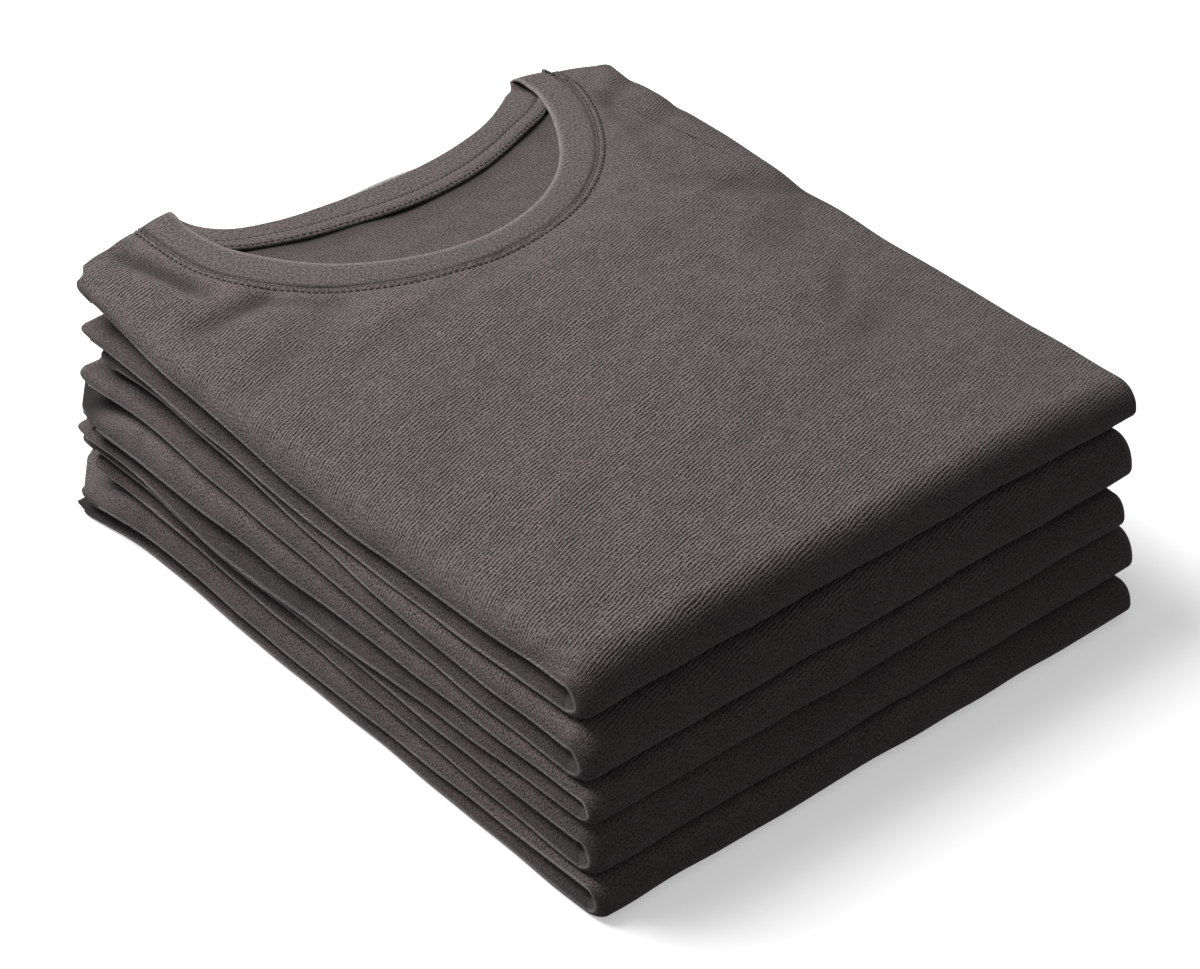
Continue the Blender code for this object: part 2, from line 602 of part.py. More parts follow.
def sleeve(shirt, side, collection):
    """A sleeve folded flat between the two flaps: two walls joined by a fold along the outside."""
    edges = LEFT_EDGES if side == "left" else RIGHT_EDGES
    sign = 1.0 if side == "left" else -1.0
    angles = np.linspace(np.pi / 2, -np.pi / 2, 4)
    rows = []
    for y, inset, width in SLEEVE_ROWS:
        edge = 0.5 * sum(curve_through(y, SIDE_Y, edges[shirt, half]) for half in ("upper", "lower"))
        outside, inside = (
            0.5 * sum(half_heights(shirt, half, edge + sign * inwards, y)[1] for half in ("upper", "lower"))
            for inwards in (CREASE, FLAP_WIDTH)
        )
        inwards = inset + np.concatenate([[width], SLEEVE_HALF * (1 - np.cos(angles)), [width]])
        rise = SLEEVE_HALF * np.concatenate([[1.0], np.sin(angles), [-1.0]])
        slope = (inside - outside) / (FLAP_WIDTH - CREASE)
        z = outside + slope * (inwards - CREASE) + rise
        rows.append(np.stack([edge + sign * inwards, np.full(len(z), y), z], axis=-1))
    grid = np.array(rows)
    cloth(f"shirt_{shirt}_sleeve_{side}", grid if side == "left" else grid[::-1], collection)


def clear_scene():
    for obj in list(bpy.data.objects):
        bpy.data.objects.remove(obj, do_unlink=True)


def main():
    clear_scene()
    stack = bpy.data.collections.new("stack of folded t-shirts")
    bpy.context.scene.collection.children.link(stack)
    for shirt in SHIRTS:
        front_panel(shirt, stack)
        hidden_layers(shirt, stack)
        back_panel(shirt, stack)
        collar(shirt, stack)
        neck_tape(shirt, stack)
        sleeve(shirt, "left", stack)
        sleeve(shirt, "right", stack)


main()
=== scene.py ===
# %% [markdown]
# # A stack of folded t-shirts
#
# Five crew-neck shirts lie folded on each other. Each is a strip of jersey with its sides and sleeves
# turned in behind it, folded in half with the neck on top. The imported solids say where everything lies. The
# cells below work the same shapes out again, finely enough for creases, seams and stitches, and dress them
# in knitted cloth.

# %% The frame that the solids came with
import json

import bpy
import numpy as np
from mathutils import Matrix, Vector

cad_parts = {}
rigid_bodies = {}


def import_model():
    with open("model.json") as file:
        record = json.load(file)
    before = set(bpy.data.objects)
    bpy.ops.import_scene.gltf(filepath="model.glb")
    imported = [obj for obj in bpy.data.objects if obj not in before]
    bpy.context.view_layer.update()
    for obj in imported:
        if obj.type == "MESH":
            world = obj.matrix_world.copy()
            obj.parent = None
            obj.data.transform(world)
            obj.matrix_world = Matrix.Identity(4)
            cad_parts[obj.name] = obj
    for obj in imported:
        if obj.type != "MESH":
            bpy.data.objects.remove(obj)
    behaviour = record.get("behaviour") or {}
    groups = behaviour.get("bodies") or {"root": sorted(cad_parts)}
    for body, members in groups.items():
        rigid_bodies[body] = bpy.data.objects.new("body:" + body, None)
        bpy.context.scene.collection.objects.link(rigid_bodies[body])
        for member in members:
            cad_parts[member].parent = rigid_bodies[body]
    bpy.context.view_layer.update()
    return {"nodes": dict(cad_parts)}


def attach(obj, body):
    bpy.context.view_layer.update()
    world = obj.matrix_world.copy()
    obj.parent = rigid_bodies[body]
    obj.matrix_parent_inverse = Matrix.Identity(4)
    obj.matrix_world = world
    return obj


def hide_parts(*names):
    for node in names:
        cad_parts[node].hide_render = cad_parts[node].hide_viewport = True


for startup_object in list(bpy.data.objects):
    bpy.data.objects.remove(startup_object, do_unlink=True)
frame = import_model()

# %% [markdown]
# ## Where the cloth lies
#
# All sizes are in millimetres, counted from the stack's front corner: x across the shirts, y from the fold
# end to the neck end, z up. Eleven surfaces part the ten half shirts. Each has a height along the left side
# and one along the right side, at seven distances, and a smooth curve joins them. Each half shirt also has
# a left and a right crease, which wander by a few millimetres as they do in a stack that was folded by
# hand.

# %% Sizes and tables
MM = 0.001
STACK_MIDDLE = (150.5, 178.0)
WALL = 1.2
SHIRT_GAP = 0.3
FLAP_GAP = 0.4
SLEEVE_ROOM = 1.7
SLEEVE_START = 180.0
NECK_CLEARANCE = 1.5
NECK_START = 240.0
ENDS_START = 290.0
LENGTH = 350.0
WIDTH = 300.0
FLAP_WIDTH = 108.0
FLAP_START = 12.0
FLAP_END = 345.0
CORNER_WIDTH = 50.0
SIDE_SLOPE = 70.0
TOP_MIDDLE = (105.0, 108.0)
ROLL_DROOP = 0.32
SHIRTS = {
    # shirt: (fold end y, hem y, lift of the upper flap, drop of the lower flap, drop of the next shirt)
    1: (3.4, 352.0, 5.0, 6.0, 1.5),
    2: (-3.4, 354.0, 0.0, 0.5, 8.0),
    3: (-8.6, 351.0, 0.0, 0.5, 0.5),
    4: (-12.5, 352.0, 0.0, 0.5, 6.5),
    5: (-17.2, 348.0, 0.0, 0.5, 0.0),
}
SIDE_Y = (0.0, 60.0, 120.0, 180.0, 240.0, 290.0, 345.0)
LEFT_HEIGHTS = {
    "floor": (0.0, 0.0, 0.0, 0.0, 0.0, 0.0, 0.0),
    "shirt 5 middle": (11.0, 8.7, 7.2, 6.2, 6.4, 7.2, 4.8),
    "under shirt 4": (16.4, 17.0, 18.2, 18.0, 18.4, 23.0, 21.5),
    "shirt 4 middle": (28.4, 27.6, 26.5, 24.0, 24.5, 29.6, 29.0),
    "under shirt 3": (39.5, 37.0, 33.8, 30.2, 31.8, 37.7, 38.0),
    "shirt 3 middle": (47.0, 46.5, 46.0, 45.3, 45.5, 45.5, 45.0),
    "under shirt 2": (54.0, 55.0, 57.0, 59.0, 61.5, 64.0, 63.0),
    "shirt 2 middle": (66.0, 65.0, 66.5, 67.8, 71.0, 73.0, 71.5),
    "under shirt 1": (79.0, 76.0, 74.5, 74.8, 78.0, 81.5, 82.0),
    "shirt 1 middle": (91.0, 88.0, 85.5, 85.2, 89.5, 94.0, 95.0),
    "top": (101.5, 100.5, 99.0, 99.5, 102.0, 104.5, 109.0),
}
RIGHT_HEIGHTS = {
    "floor": (0.0, 0.0, 0.0, 0.0, 0.0, 0.0, 0.0),
    "shirt 5 middle": (9.0, 9.5, 10.0, 10.0, 10.5, 11.0, 11.0),
    "under shirt 4": (18.0, 19.0, 20.0, 20.5, 21.0, 22.0, 22.0),
    "shirt 4 middle": (29.5, 30.0, 30.0, 30.5, 31.5, 33.0, 33.0),
    "under shirt 3": (41.0, 40.5, 40.5, 41.0, 42.0, 43.0, 43.5),
    "shirt 3 middle": (50.0, 50.0, 49.5, 50.0, 51.0, 53.0, 53.5),
    "under shirt 2": (58.8, 58.0, 58.5, 59.5, 60.5, 62.0, 63.0),
    "shirt 2 middle": (71.0, 70.0, 70.0, 70.5, 71.5, 73.5, 74.5),
    "under shirt 1": (83.7, 82.0, 81.0, 81.0, 82.0, 84.0, 85.0),
    "shirt 1 middle": (94.0, 93.0, 92.5, 93.0, 95.0, 97.0, 98.0),
    "top": (101.5, 101.5, 102.0, 103.0, 105.0, 107.0, 108.5),
}
LEFT_EDGES = {
    (1, "upper"): (2.0, 2.0, 2.0, 2.0, 2.0, 2.0, 5.0),
    (1, "lower"): (2.0, 2.0, 2.0, 2.0, 2.0, 2.0, 3.0),
    (2, "upper"): (-2.0, -1.8, -1.5, 2.0, 4.0, 5.5, 5.0),
    (2, "lower"): (-2.0, -2.0, -2.0, -2.0, -2.0, -1.5, -3.0),
    (3, "upper"): (-3.5, -4.5, -4.5, -5.0, -7.0, -7.5, -8.0),
    (3, "lower"): (-5.0, -5.0, -5.0, -5.0, -7.5, -7.0, -7.5),
    (4, "upper"): (-5.5, -5.5, -4.0, -2.0, -4.5, -4.5, -5.0),
    (4, "lower"): (-6.0, -6.0, -5.5, -4.5, -3.5, -5.0, -5.5),
    (5, "upper"): (-7.4, -7.4, -7.4, -8.2, -8.4, -8.5, -12.5),
    (5, "lower"): (-7.4, -8.0, -7.8, -8.4, -8.0, -7.0, -12.5),
}
RIGHT_EDGES = {
    (1, "upper"): (305.5, 307.0, 308.0, 309.0, 311.0, 312.0, 312.0),
    (1, "lower"): (305.5, 304.0, 306.0, 307.5, 308.0, 309.0, 308.0),
    (2, "upper"): (299.0, 301.0, 303.0, 304.0, 303.0, 303.0, 304.0),
    (2, "lower"): (299.0, 300.5, 302.5, 304.5, 305.0, 304.5, 303.0),
    (3, "upper"): (290.5, 294.0, 299.0, 300.0, 300.0, 299.0, 299.0),
    (3, "lower"): (290.5, 295.0, 300.0, 301.5, 301.0, 300.0, 300.5),
    (4, "upper"): (295.0, 297.0, 300.0, 300.5, 301.0, 302.0, 302.0),
    (4, "lower"): (295.0, 298.0, 302.0, 301.5, 300.0, 300.0, 301.0),
    (5, "upper"): (291.0, 294.5, 298.0, 300.0, 300.5, 300.0, 299.0),
    (5, "lower"): (291.0, 295.5, 300.0, 301.0, 302.0, 302.0, 301.0),
}
print(len(LEFT_HEIGHTS) - 1, "half shirts,", len(SIDE_Y), "stations along each side")


# %% Curves through the tables
def curve_through(at, places, values):
    """The cubic through each pair of neighbouring values, with the slope at a value taken from both sides:
    (2t^3-3t^2+1) a + (t^3-2t^2+t) h sa + (3t^2-2t^3) b + (t^3-t^2) h sb."""
    places, values = np.asarray(places), np.asarray(values, dtype=float)
    slopes = np.gradient(values, places)
    at = np.clip(at, places[0], places[-1])
    left = np.clip(np.searchsorted(places, at, side="right") - 1, 0, len(places) - 2)
    step = places[left + 1] - places[left]
    t = (at - places[left]) / step
    return (
        (2 * t**3 - 3 * t**2 + 1) * values[left]
        + (t**3 - 2 * t**2 + t) * step * slopes[left]
        + (3 * t**2 - 2 * t**3) * values[left + 1]
        + (t**3 - t**2) * step * slopes[left + 1]
    )


def ramp(value, start, end):
    """0 before start, 1 past end, and t*t*(3-2t) between."""
    t = np.clip((value - start) / (end - start), 0, 1)
    return t * t * (3 - 2 * t)


def bell(value, middle, width):
    """A bell curve: exp(-((value - middle) / width)^2)."""
    return np.exp(-(((value - middle) / width) ** 2))


def lengths_along(line):
    """How far along a line each of its points lies, starting from 0."""
    return np.concatenate([[0.0], np.cumsum(np.linalg.norm(np.diff(line, axis=0), axis=-1))])


def layer_height(layer, x, y):
    """Straight across from the left height to the right one. The top is level across its middle instead,
    and falls to its sides as the square of the distance into a border SIDE_SLOPE wide."""
    left = curve_through(y, SIDE_Y, LEFT_HEIGHTS[layer])
    right = curve_through(y, SIDE_Y, RIGHT_HEIGHTS[layer])
    if layer != "top":
        return left + (right - left) * np.clip(x / WIDTH, 0, 1)
    fold_end, neck_end = TOP_MIDDLE
    middle = fold_end + (neck_end - fold_end) * np.clip(y / LENGTH, 0, 1)
    near_left = 1 - np.clip(x / SIDE_SLOPE, 0, 1)
    near_right = 1 - np.clip((WIDTH - x) / SIDE_SLOPE, 0, 1)
    return middle + (left - middle) * near_left**2 + (right - middle) * near_right**2


def half_heights(shirt, half, x, y, inset=0.0):
    """(outer, inner) heights of a half shirt: its skin's outside, and its flap's face inside."""
    _, _, flap_lift, flap_drop, _ = SHIRTS[shirt]
    room = FLAP_GAP + SLEEVE_ROOM * ramp(y, SLEEVE_START, NECK_START)
    middle = layer_height(f"shirt {shirt} middle", x, y)
    corner = ramp(y, ENDS_START, LENGTH) * (1 - ramp(x, 0.0, CORNER_WIDTH))
    if half == "lower":
        below = "floor" if shirt == 5 else f"under shirt {shirt}"
        lift = 0.0 if shirt == 5 else SHIRT_GAP
        return layer_height(below, x, y) + lift + inset, middle - room - flap_drop * corner - inset
    inner = middle + room + flap_lift * corner + inset
    if shirt == 1:
        return layer_height("top", x, y) - inset, inner
    drop = SHIRTS[shirt - 1][4] * corner
    drop += NECK_CLEARANCE * np.clip((y - SLEEVE_START) / (NECK_START - SLEEVE_START), 0, 1)
    return layer_height(f"under shirt {shirt - 1}", x, y) - SHIRT_GAP - drop - inset, inner


middle_heights = half_heights(1, "upper", WIDTH / 2, LENGTH / 2)
print("half a shirt is", round(float(middle_heights[0] - middle_heights[1]), 1), "mm thick in its middle")

# %% [markdown]
# ## The neck
#
# The rib band is a ring of sections. Each runs from the seam, where the band is sewn to the body, to the
# rim, its folded free edge. In front the band lies flat on the shirt. At the shoulders' tips it folds over,
# and behind it continues lower, with its inside showing. The front panel ends on the same seam, so the two
# can't drift apart.

# %% The rib band's sections
COLLAR_SECTIONS = np.array((
    # (seam x, seam y, seam lift, rim x, rim y, rim lift), clockwise from the left shoulder's tip
    (51.0, 370.0, -0.3, 68.0, 373.0, 0.2),
    (50.5, 350.0, 0.0, 66.5, 355.0, 0.5),
    (52.5, 327.0, 0.0, 69.0, 334.0, 0.5),
    (64.0, 301.0, 0.0, 80.0, 312.0, 0.4),
    (87.0, 276.0, 0.0, 98.5, 290.0, 0.4),
    (122.0, 258.5, 0.0, 129.0, 272.5, 0.4),
    (166.0, 252.0, 0.0, 167.5, 266.0, 0.4),
    (208.0, 261.0, 0.0, 202.5, 274.5, 0.4),
    (243.0, 284.0, 0.0, 231.5, 295.0, 0.4),
    (264.0, 309.5, 0.0, 249.5, 319.0, 0.4),
    (277.0, 335.0, 0.0, 260.5, 340.5, 0.5),
    (281.5, 353.0, 0.0, 265.0, 356.5, 0.5),
    (281.0, 366.0, -0.3, 264.0, 369.5, 0.2),
    (281.0, 367.8, -2.0, 263.6, 371.2, -1.4),
    (279.0, 365.0, -4.0, 262.5, 369.0, -3.2),
    (260.0, 348.5, -4.3, 253.0, 361.5, -3.6),
    (238.0, 338.0, -3.9, 232.5, 348.5, -3.1),
    (206.0, 325.5, -3.7, 205.0, 339.0, -3.0),
    (168.0, 319.5, -3.7, 169.5, 334.0, -3.0),
    (128.0, 323.0, -3.7, 131.0, 334.5, -3.0),
    (97.0, 329.5, -3.9, 101.0, 338.5, -3.1),
    (72.0, 341.0, -4.3, 80.0, 348.5, -3.6),
    (54.0, 367.5, -4.0, 69.5, 371.5, -3.2),
    (51.2, 371.6, -2.0, 68.2, 374.6, -1.4),
))
FRONT_SECTIONS = 12
TIP_ROOM = (20.0, 6.0)
SHOULDER_REACH = 347.0
SHOULDER_ROUND = 22.0
SHOULDER_SLOPE = 0.04
SHOULDER_START = 10.0
RIGHT_SHOULDER_BACK = 3.0
HEM_CUT = 12.0
HEM_ROUND = 8.0


def ring_places():
    """How far round the ring each section lies, by the distances between the sections' middles."""
    middles = (COLLAR_SECTIONS[:, :3] + COLLAR_SECTIONS[:, 3:]) / 2
    return lengths_along(np.vstack([middles, middles[:1]]))


RING_PLACES = ring_places()


def ring_sections(places):
    """The sections at any places round the ring, on a closed smooth curve through the table's own."""
    whole = RING_PLACES[-1]
    around = np.vstack([COLLAR_SECTIONS[-3:], COLLAR_SECTIONS, COLLAR_SECTIONS[:3]])
    known = np.concatenate([RING_PLACES[-4:-1] - whole, RING_PLACES[:-1], RING_PLACES[:3] + whole])
    return np.stack([curve_through(places, known, around[:, i]) for i in range(6)], axis=-1)


def front_seam(steps):
    """The front neck seam as arrays of x and y, from the left shoulder's tip to the right one."""
    return ring_sections(np.linspace(0, RING_PLACES[FRONT_SECTIONS], steps + 1))[:, :2].T


def back_seam(steps):
    """The back neck seam as arrays of x and y, from left to right."""
    places = np.linspace(RING_PLACES[-3], RING_PLACES[FRONT_SECTIONS + 2], steps + 1)
    return ring_sections(places)[:, :2].T


def shoulder_end(inwards):
    """How far the upper half reaches at a distance d in from its side: it starts at SHOULDER_REACH, rises
    by SHOULDER_ROUND (1 - exp(-d / SHOULDER_ROUND)) and goes on with SHOULDER_SLOPE d."""
    rise = SHOULDER_ROUND * (1 - np.exp(-inwards / SHOULDER_ROUND))
    return SHOULDER_REACH + rise + SHOULDER_SLOPE * inwards


def hem_end(hem, inwards):
    """How far the lower half reaches, with cut-back corners: hem - HEM_CUT exp(-d / HEM_ROUND)."""
    return hem - HEM_CUT * np.exp(-inwards / HEM_ROUND)


front_length, back_length = (lengths_along(seam(200).T)[-1] for seam in (front_seam, back_seam))
print("the neck seam is", round(front_length), "mm long in front and", round(back_length), "mm behind")

# %% [markdown]
# ## A folded strip as one surface
#
# A folded shirt is a strip of cloth, so it is one grid of points. Its columns run across: the left flap's
# free edge, round the left crease, over the flat and round the right crease to the other flap. Its rows run
# along: from the neck end over the top half, round the roll at the fold end, and back along the bottom half
# to the hem. Depth says how far a point lies below the outer skin, from 0 on the skin to 1 at the flap in
# the shirt's middle. The same grid, shrunk by an inset, gives the layers of cloth that lie inside.

# %% The strip's rows and its rounded sides
# the rows' spacing on the top and the bottom half, and then numbers of rows and of columns
FIELDS = ("row", "under", "ends", "roll", "flap", "round", "shoulder", "neck")
FINE = dict(zip(FIELDS, (3.0, 6.0, 10, 34, 4, (9, 13), 18, 96)))
PLAIN = dict(zip(FIELDS, (4.0, 7.0, 5, 26, 3, (8, 11), 8, 44)))
INNER = dict(zip(FIELDS, (9.0, 9.0, 2, 12, 2, (4, 5), 5, 26)))
CREASE = 1.9
TIGHT_SHARE = (0.15, 0.5)
GENTLE_REACH = 10.0
GENTLE_SHARE = 0.8
ROLL_SHARE = 0.55
ROLL_LIMITS = (8.0, 14.0)
NEAR_FOLD = 10.0
DENSE_END = 12.0
NOSE = 7.0
LEAF = 8.0
BULGE = (0.4, 0.3)
SWOLLEN_ENDS = {4: 1.5, 5: 5.0}
MOUTHS = {(3, "upper"): 12.0, (5, "lower"): 8.0}
CORNER_CUTS = {1: (1.0, 0.0), 2: (16.0, 7.0), 3: (14.0, 5.0), 4: (7.0, 15.0), 5: (17.0, 2.0)}
INNER_CUTS = {3: 0.4, 5: 0.7}
CUT_REACH = 20.0
THICKEST_INSET = 0.3
LAYER_BACK = 2.5
ON_FLAP = 0.9


def roll_radius(shirt):
    """The roll's reach at the fold end: ROLL_SHARE of the thickness there, within ROLL_LIMITS."""
    upper, lower = (half_heights(shirt, half, WIDTH / 2, NEAR_FOLD)[0] for half in ("upper", "lower"))
    return float(np.clip(ROLL_SHARE * (upper - lower), *ROLL_LIMITS))


def strip_rows(shirt, detail):
    """The rows as two arrays, (turn, y). Turn is 0 on the top half, grows over the roll, and is 1 on the
    bottom half."""
    start = SHIRTS[shirt][0] + roll_radius(shirt)
    dense = LENGTH - DENSE_END
    top, bottom = (
        np.concatenate([
            np.linspace(LENGTH, dense, detail["ends"] + 1)[:-1],
            np.linspace(dense, start, round((dense - start) / detail[half]) + 1),
        ])
        for half in ("row", "under")
    )
    turns = np.linspace(0, 1, detail["roll"] + 1)[1:-1]
    turn = np.concatenate([np.zeros(len(top)), turns, np.ones(len(bottom))])
    return turn, np.concatenate([top, np.full(len(turns), start), bottom[::-1]])


def side_shape(shirt, detail, turn, edge, row_y):
    """(distance in from the crease, depth, wall) down a rounded side, for every row: two quarter ellipses
    that meet at the crease, a wide one outside and a tight one inside, and then the flap. They change
    places in the roll. Wall goes down the wide one, from 0 to 1 at the crease, and stays 1 past it."""
    outer_top, inner_top = half_heights(shirt, "upper", edge, row_y)
    outer_low, inner_low = half_heights(shirt, "lower", edge, row_y)
    height = (outer_top - inner_top) * (1 - turn) + (inner_low - outer_low) * turn
    tight = np.clip(CREASE / height, *TIGHT_SHARE)
    gentle = np.minimum(GENTLE_REACH, GENTLE_SHARE * height)
    protrusion = ((1 - tight) + (2 * tight - 1) * turn)[:, None]
    outer_reach = (gentle + (CREASE - gentle) * turn)[:, None]
    inner_reach = (CREASE + (gentle - CREASE) * turn)[:, None]
    inner_steps, outer_steps = detail["round"]
    phi = np.linspace(0, np.pi / 2, inner_steps + 1)
    theta = np.linspace(0, np.pi / 2, outer_steps + 1)[1:]
    share = np.linspace(0, 1, detail["flap"] + 1)[:-1]
    inwards = np.hstack([
        FLAP_WIDTH + (inner_reach - FLAP_WIDTH) * share,
        inner_reach * (1 - np.sin(phi)),
        outer_reach * (1 - np.cos(theta)),
    ])
    depth = np.hstack([
        np.ones((len(turn), len(share))),
        protrusion + (1 - protrusion) * np.cos(phi),
        protrusion * (1 - np.sin(theta)),
    ])
    upper = turn[:, None] < 1
    wall = np.hstack([
        np.where(upper, np.ones_like(share), 0.0),
        np.where(upper, 1.0, 1 - np.cos(phi)),
        np.where(upper, 1 - np.sin(theta), 1.0),
    ])
    return inwards, depth, wall


def side_end(shirt, turn, wall):
    """How far the end of a rounded side stands out, with t the share of the wall. A top half has the
    shirt's swell, times a bell curve at BULGE, less NOSE t^4. A bottom half has LEAF (1 - t^4). A mouth
    takes a bite of sin(pi t)^1.5 out of the wall."""
    upper = turn[:, None] < 1
    swell = bell(wall, *BULGE) - bell(0.0, *BULGE)
    swell = SWOLLEN_ENDS.get(shirt, NOSE / 2) * swell - NOSE * wall**4
    bite = np.where(upper, *(MOUTHS.get((shirt, half), 0.0) for half in ("upper", "lower")))
    return np.where(upper, swell, LEAF * (1 - wall**4)) - bite * np.sin(np.pi * wall) ** 1.5


def corner_cut(shirt, turn, from_left, from_right):
    """How much shorter a half shirt is at its corners: its own cut times exp(-d / CUT_REACH) on the left,
    and half as much on the right."""
    upper, lower = CORNER_CUTS[shirt]
    cut = (upper + (lower - upper) * turn)[:, None]
    return cut * (np.exp(-from_left / CUT_REACH) + 0.5 * np.exp(-from_right / CUT_REACH))


def flat_columns(detail, row_y, turn, left, right, seam):
    """(x, y) of the columns between the rounded sides. Past NECK_START a column of the top half goes in
    another straight line, to its own point of the shoulders or of the neck seam. Without a seam it stays
    straight."""
    side, neck = detail["shoulder"], detail["neck"]
    share = np.sin(np.linspace(0, np.pi / 2, side + 1))[:-1]
    neck_x, neck_y = (seam or front_seam)(neck)
    left_tip, right_tip = left + TIP_ROOM[0], right - TIP_ROOM[1]
    spread = (neck_x - neck_x[0]) / (neck_x[-1] - neck_x[0])
    base = np.hstack([
        left + (left_tip - left) * share,
        left_tip + (right_tip - left_tip) * 0.5 * (spread + np.linspace(0, 1, neck + 1)),
        right_tip + (right - right_tip) * (1 - share[1:][::-1]),
        right,
    ])
    if seam is None:
        return base, np.repeat(row_y[:, None], base.shape[1], axis=1)
    start_x = left + (neck_x[0] - left) * share
    finish_x = neck_x[-1] + (right - neck_x[-1]) * np.append(1 - share[1:][::-1], 1.0)
    end_x = np.hstack([start_x, np.repeat(neck_x[None], len(row_y), axis=0), finish_x])
    end_y = np.hstack([
        shoulder_end(start_x - left + SHOULDER_START),
        np.repeat(neck_y[None], len(row_y), axis=0),
        shoulder_end(right - finish_x + SHOULDER_START) - RIGHT_SHOULDER_BACK,
    ])
    along = np.clip((row_y - NECK_START) / (LENGTH - NECK_START), 0, 1)[:, None] * (turn < 1)[:, None]
    straight = np.repeat(row_y[:, None], base.shape[1], axis=1)
    bent = np.where(along > 0, NECK_START + (end_y - NECK_START) * along, straight)
    return base + (end_x - base) * along, bent


# %% From rows and columns to points
def roll_points(shirt, turn, x, y, depth, inset):
    """Points in the roll. Its outside is two quarter ellipses from the top half to the bottom one, widest
    at belly, and its inside a half circle of the flaps' spacing. Depth runs from one to the other."""
    fold_end = SHIRTS[shirt][0] + inset
    top, inner_top = half_heights(shirt, "upper", x, y, inset)
    low, inner_low = half_heights(shirt, "lower", x, y, inset)
    middle, small = (inner_top + inner_low) / 2, (inner_top - inner_low) / 2
    belly = low + ROLL_DROOP * (top - low)
    angle = np.pi * turn[:, None]
    swing = np.cos(angle)
    outer_z = belly + np.where(swing > 0, (top - belly) * swing, (belly - low) * swing)
    outer_y = y - (y - fold_end) * np.sin(angle)
    away = np.stack([outer_y - y, outer_z - middle])
    away /= np.linalg.norm(away, axis=0)
    inner_y, inner_z = y + away[0] * small, middle + away[1] * small
    return inner_y + (outer_y - inner_y) * (1 - depth), inner_z + (outer_z - inner_z) * (1 - depth)


def strip(shirt, detail, inset=0.0, seam=None, end=None):
    """The folded strip as a grid of points, rows by columns. With a seam it follows the shirt's own outline
    at the neck end, and without one it ends straight, at end. A layer inside is shrunk by an inset, but by
    no more than a share of its half shirt's thickness."""
    turn, row_y = strip_rows(shirt, detail)
    left, right = (
        (1 - turn) * curve_through(row_y, SIDE_Y, table[shirt, "upper"])
        + turn * curve_through(row_y, SIDE_Y, table[shirt, "lower"])
        for table in (LEFT_EDGES, RIGHT_EDGES)
    )
    from_left, left_depth, left_wall = side_shape(shirt, detail, turn, left, row_y)
    from_right, right_depth, right_wall = side_shape(shirt, detail, turn, right, row_y)
    from_left, from_right = from_left + inset, from_right + inset
    left, right = left[:, None], right[:, None]
    first, last = left + from_left[:, -1:], right - from_right[:, -1:]
    flat_x, flat_y = flat_columns(detail, row_y, turn, first, last, seam)
    x = np.hstack([left + from_left, flat_x[:, 1:-1], right - from_right[:, ::-1]])
    depth = np.hstack([left_depth, np.zeros_like(flat_x[:, 1:-1]), right_depth[:, ::-1]])
    y = np.repeat(row_y[:, None], x.shape[1], axis=1)
    past = np.clip((row_y - ENDS_START) / (LENGTH - ENDS_START), 0, 1)[:, None]
    inwards = np.minimum(x - left, right - x)
    flat = np.ones_like(flat_x[:, 1:-1])
    wall = np.hstack([left_wall, flat, right_wall[:, ::-1]])
    hem = hem_end(SHIRTS[shirt][1], np.where(wall < 1, 0.0, inwards))
    ends = np.where(turn[:, None] < 1, shoulder_end(inwards), hem)
    ends_of = shirt if seam else 0
    ends += np.hstack([side_end(ends_of, turn, left_wall), 0 * flat, side_end(0, turn, right_wall[:, ::-1])])
    if seam is None:
        ends = np.minimum(ends - LAYER_BACK, end)
    else:
        flap = np.where(depth > ON_FLAP, ramp(inwards, FLAP_START, 2 * FLAP_START), 0.0)
        ends += (FLAP_END - ends) * flap
    cut = corner_cut(shirt, turn, x - left, right - x) * (INNER_CUTS.get(shirt, 1.0) if seam is None else 1.0)
    ends -= cut
    y = np.where(past > 0, ENDS_START + (ends - ENDS_START) * past, y)
    if seam is not None:
        sides, top = from_left.shape[1], turn < 1
        y[top, sides:-sides] = (flat_y - (cut * past**2)[:, sides - 1 : 1 - sides])[top, 1:-1]
    z = np.empty_like(x)
    for half, rows, sign in (("upper", turn == 0, -1.0), ("lower", turn == 1, 1.0)):
        outer, inner = half_heights(shirt, half, x[rows], y[rows])
        shrink = sign * np.minimum(inset, THICKEST_INSET * np.abs(outer - inner))
        z[rows] = outer + shrink + (inner - outer - 2 * shrink) * depth[rows]
    roll = (turn > 0) & (turn < 1)
    y[roll], z[roll] = roll_points(shirt, turn[roll], x[roll], y[roll], depth[roll], inset)
    return np.stack([x, y, z], axis=-1)


top_strip = strip(1, FINE, seam=front_seam)
print("the top shirt's skin is a grid of", top_strip.shape[0], "by", top_strip.shape[1], "points")
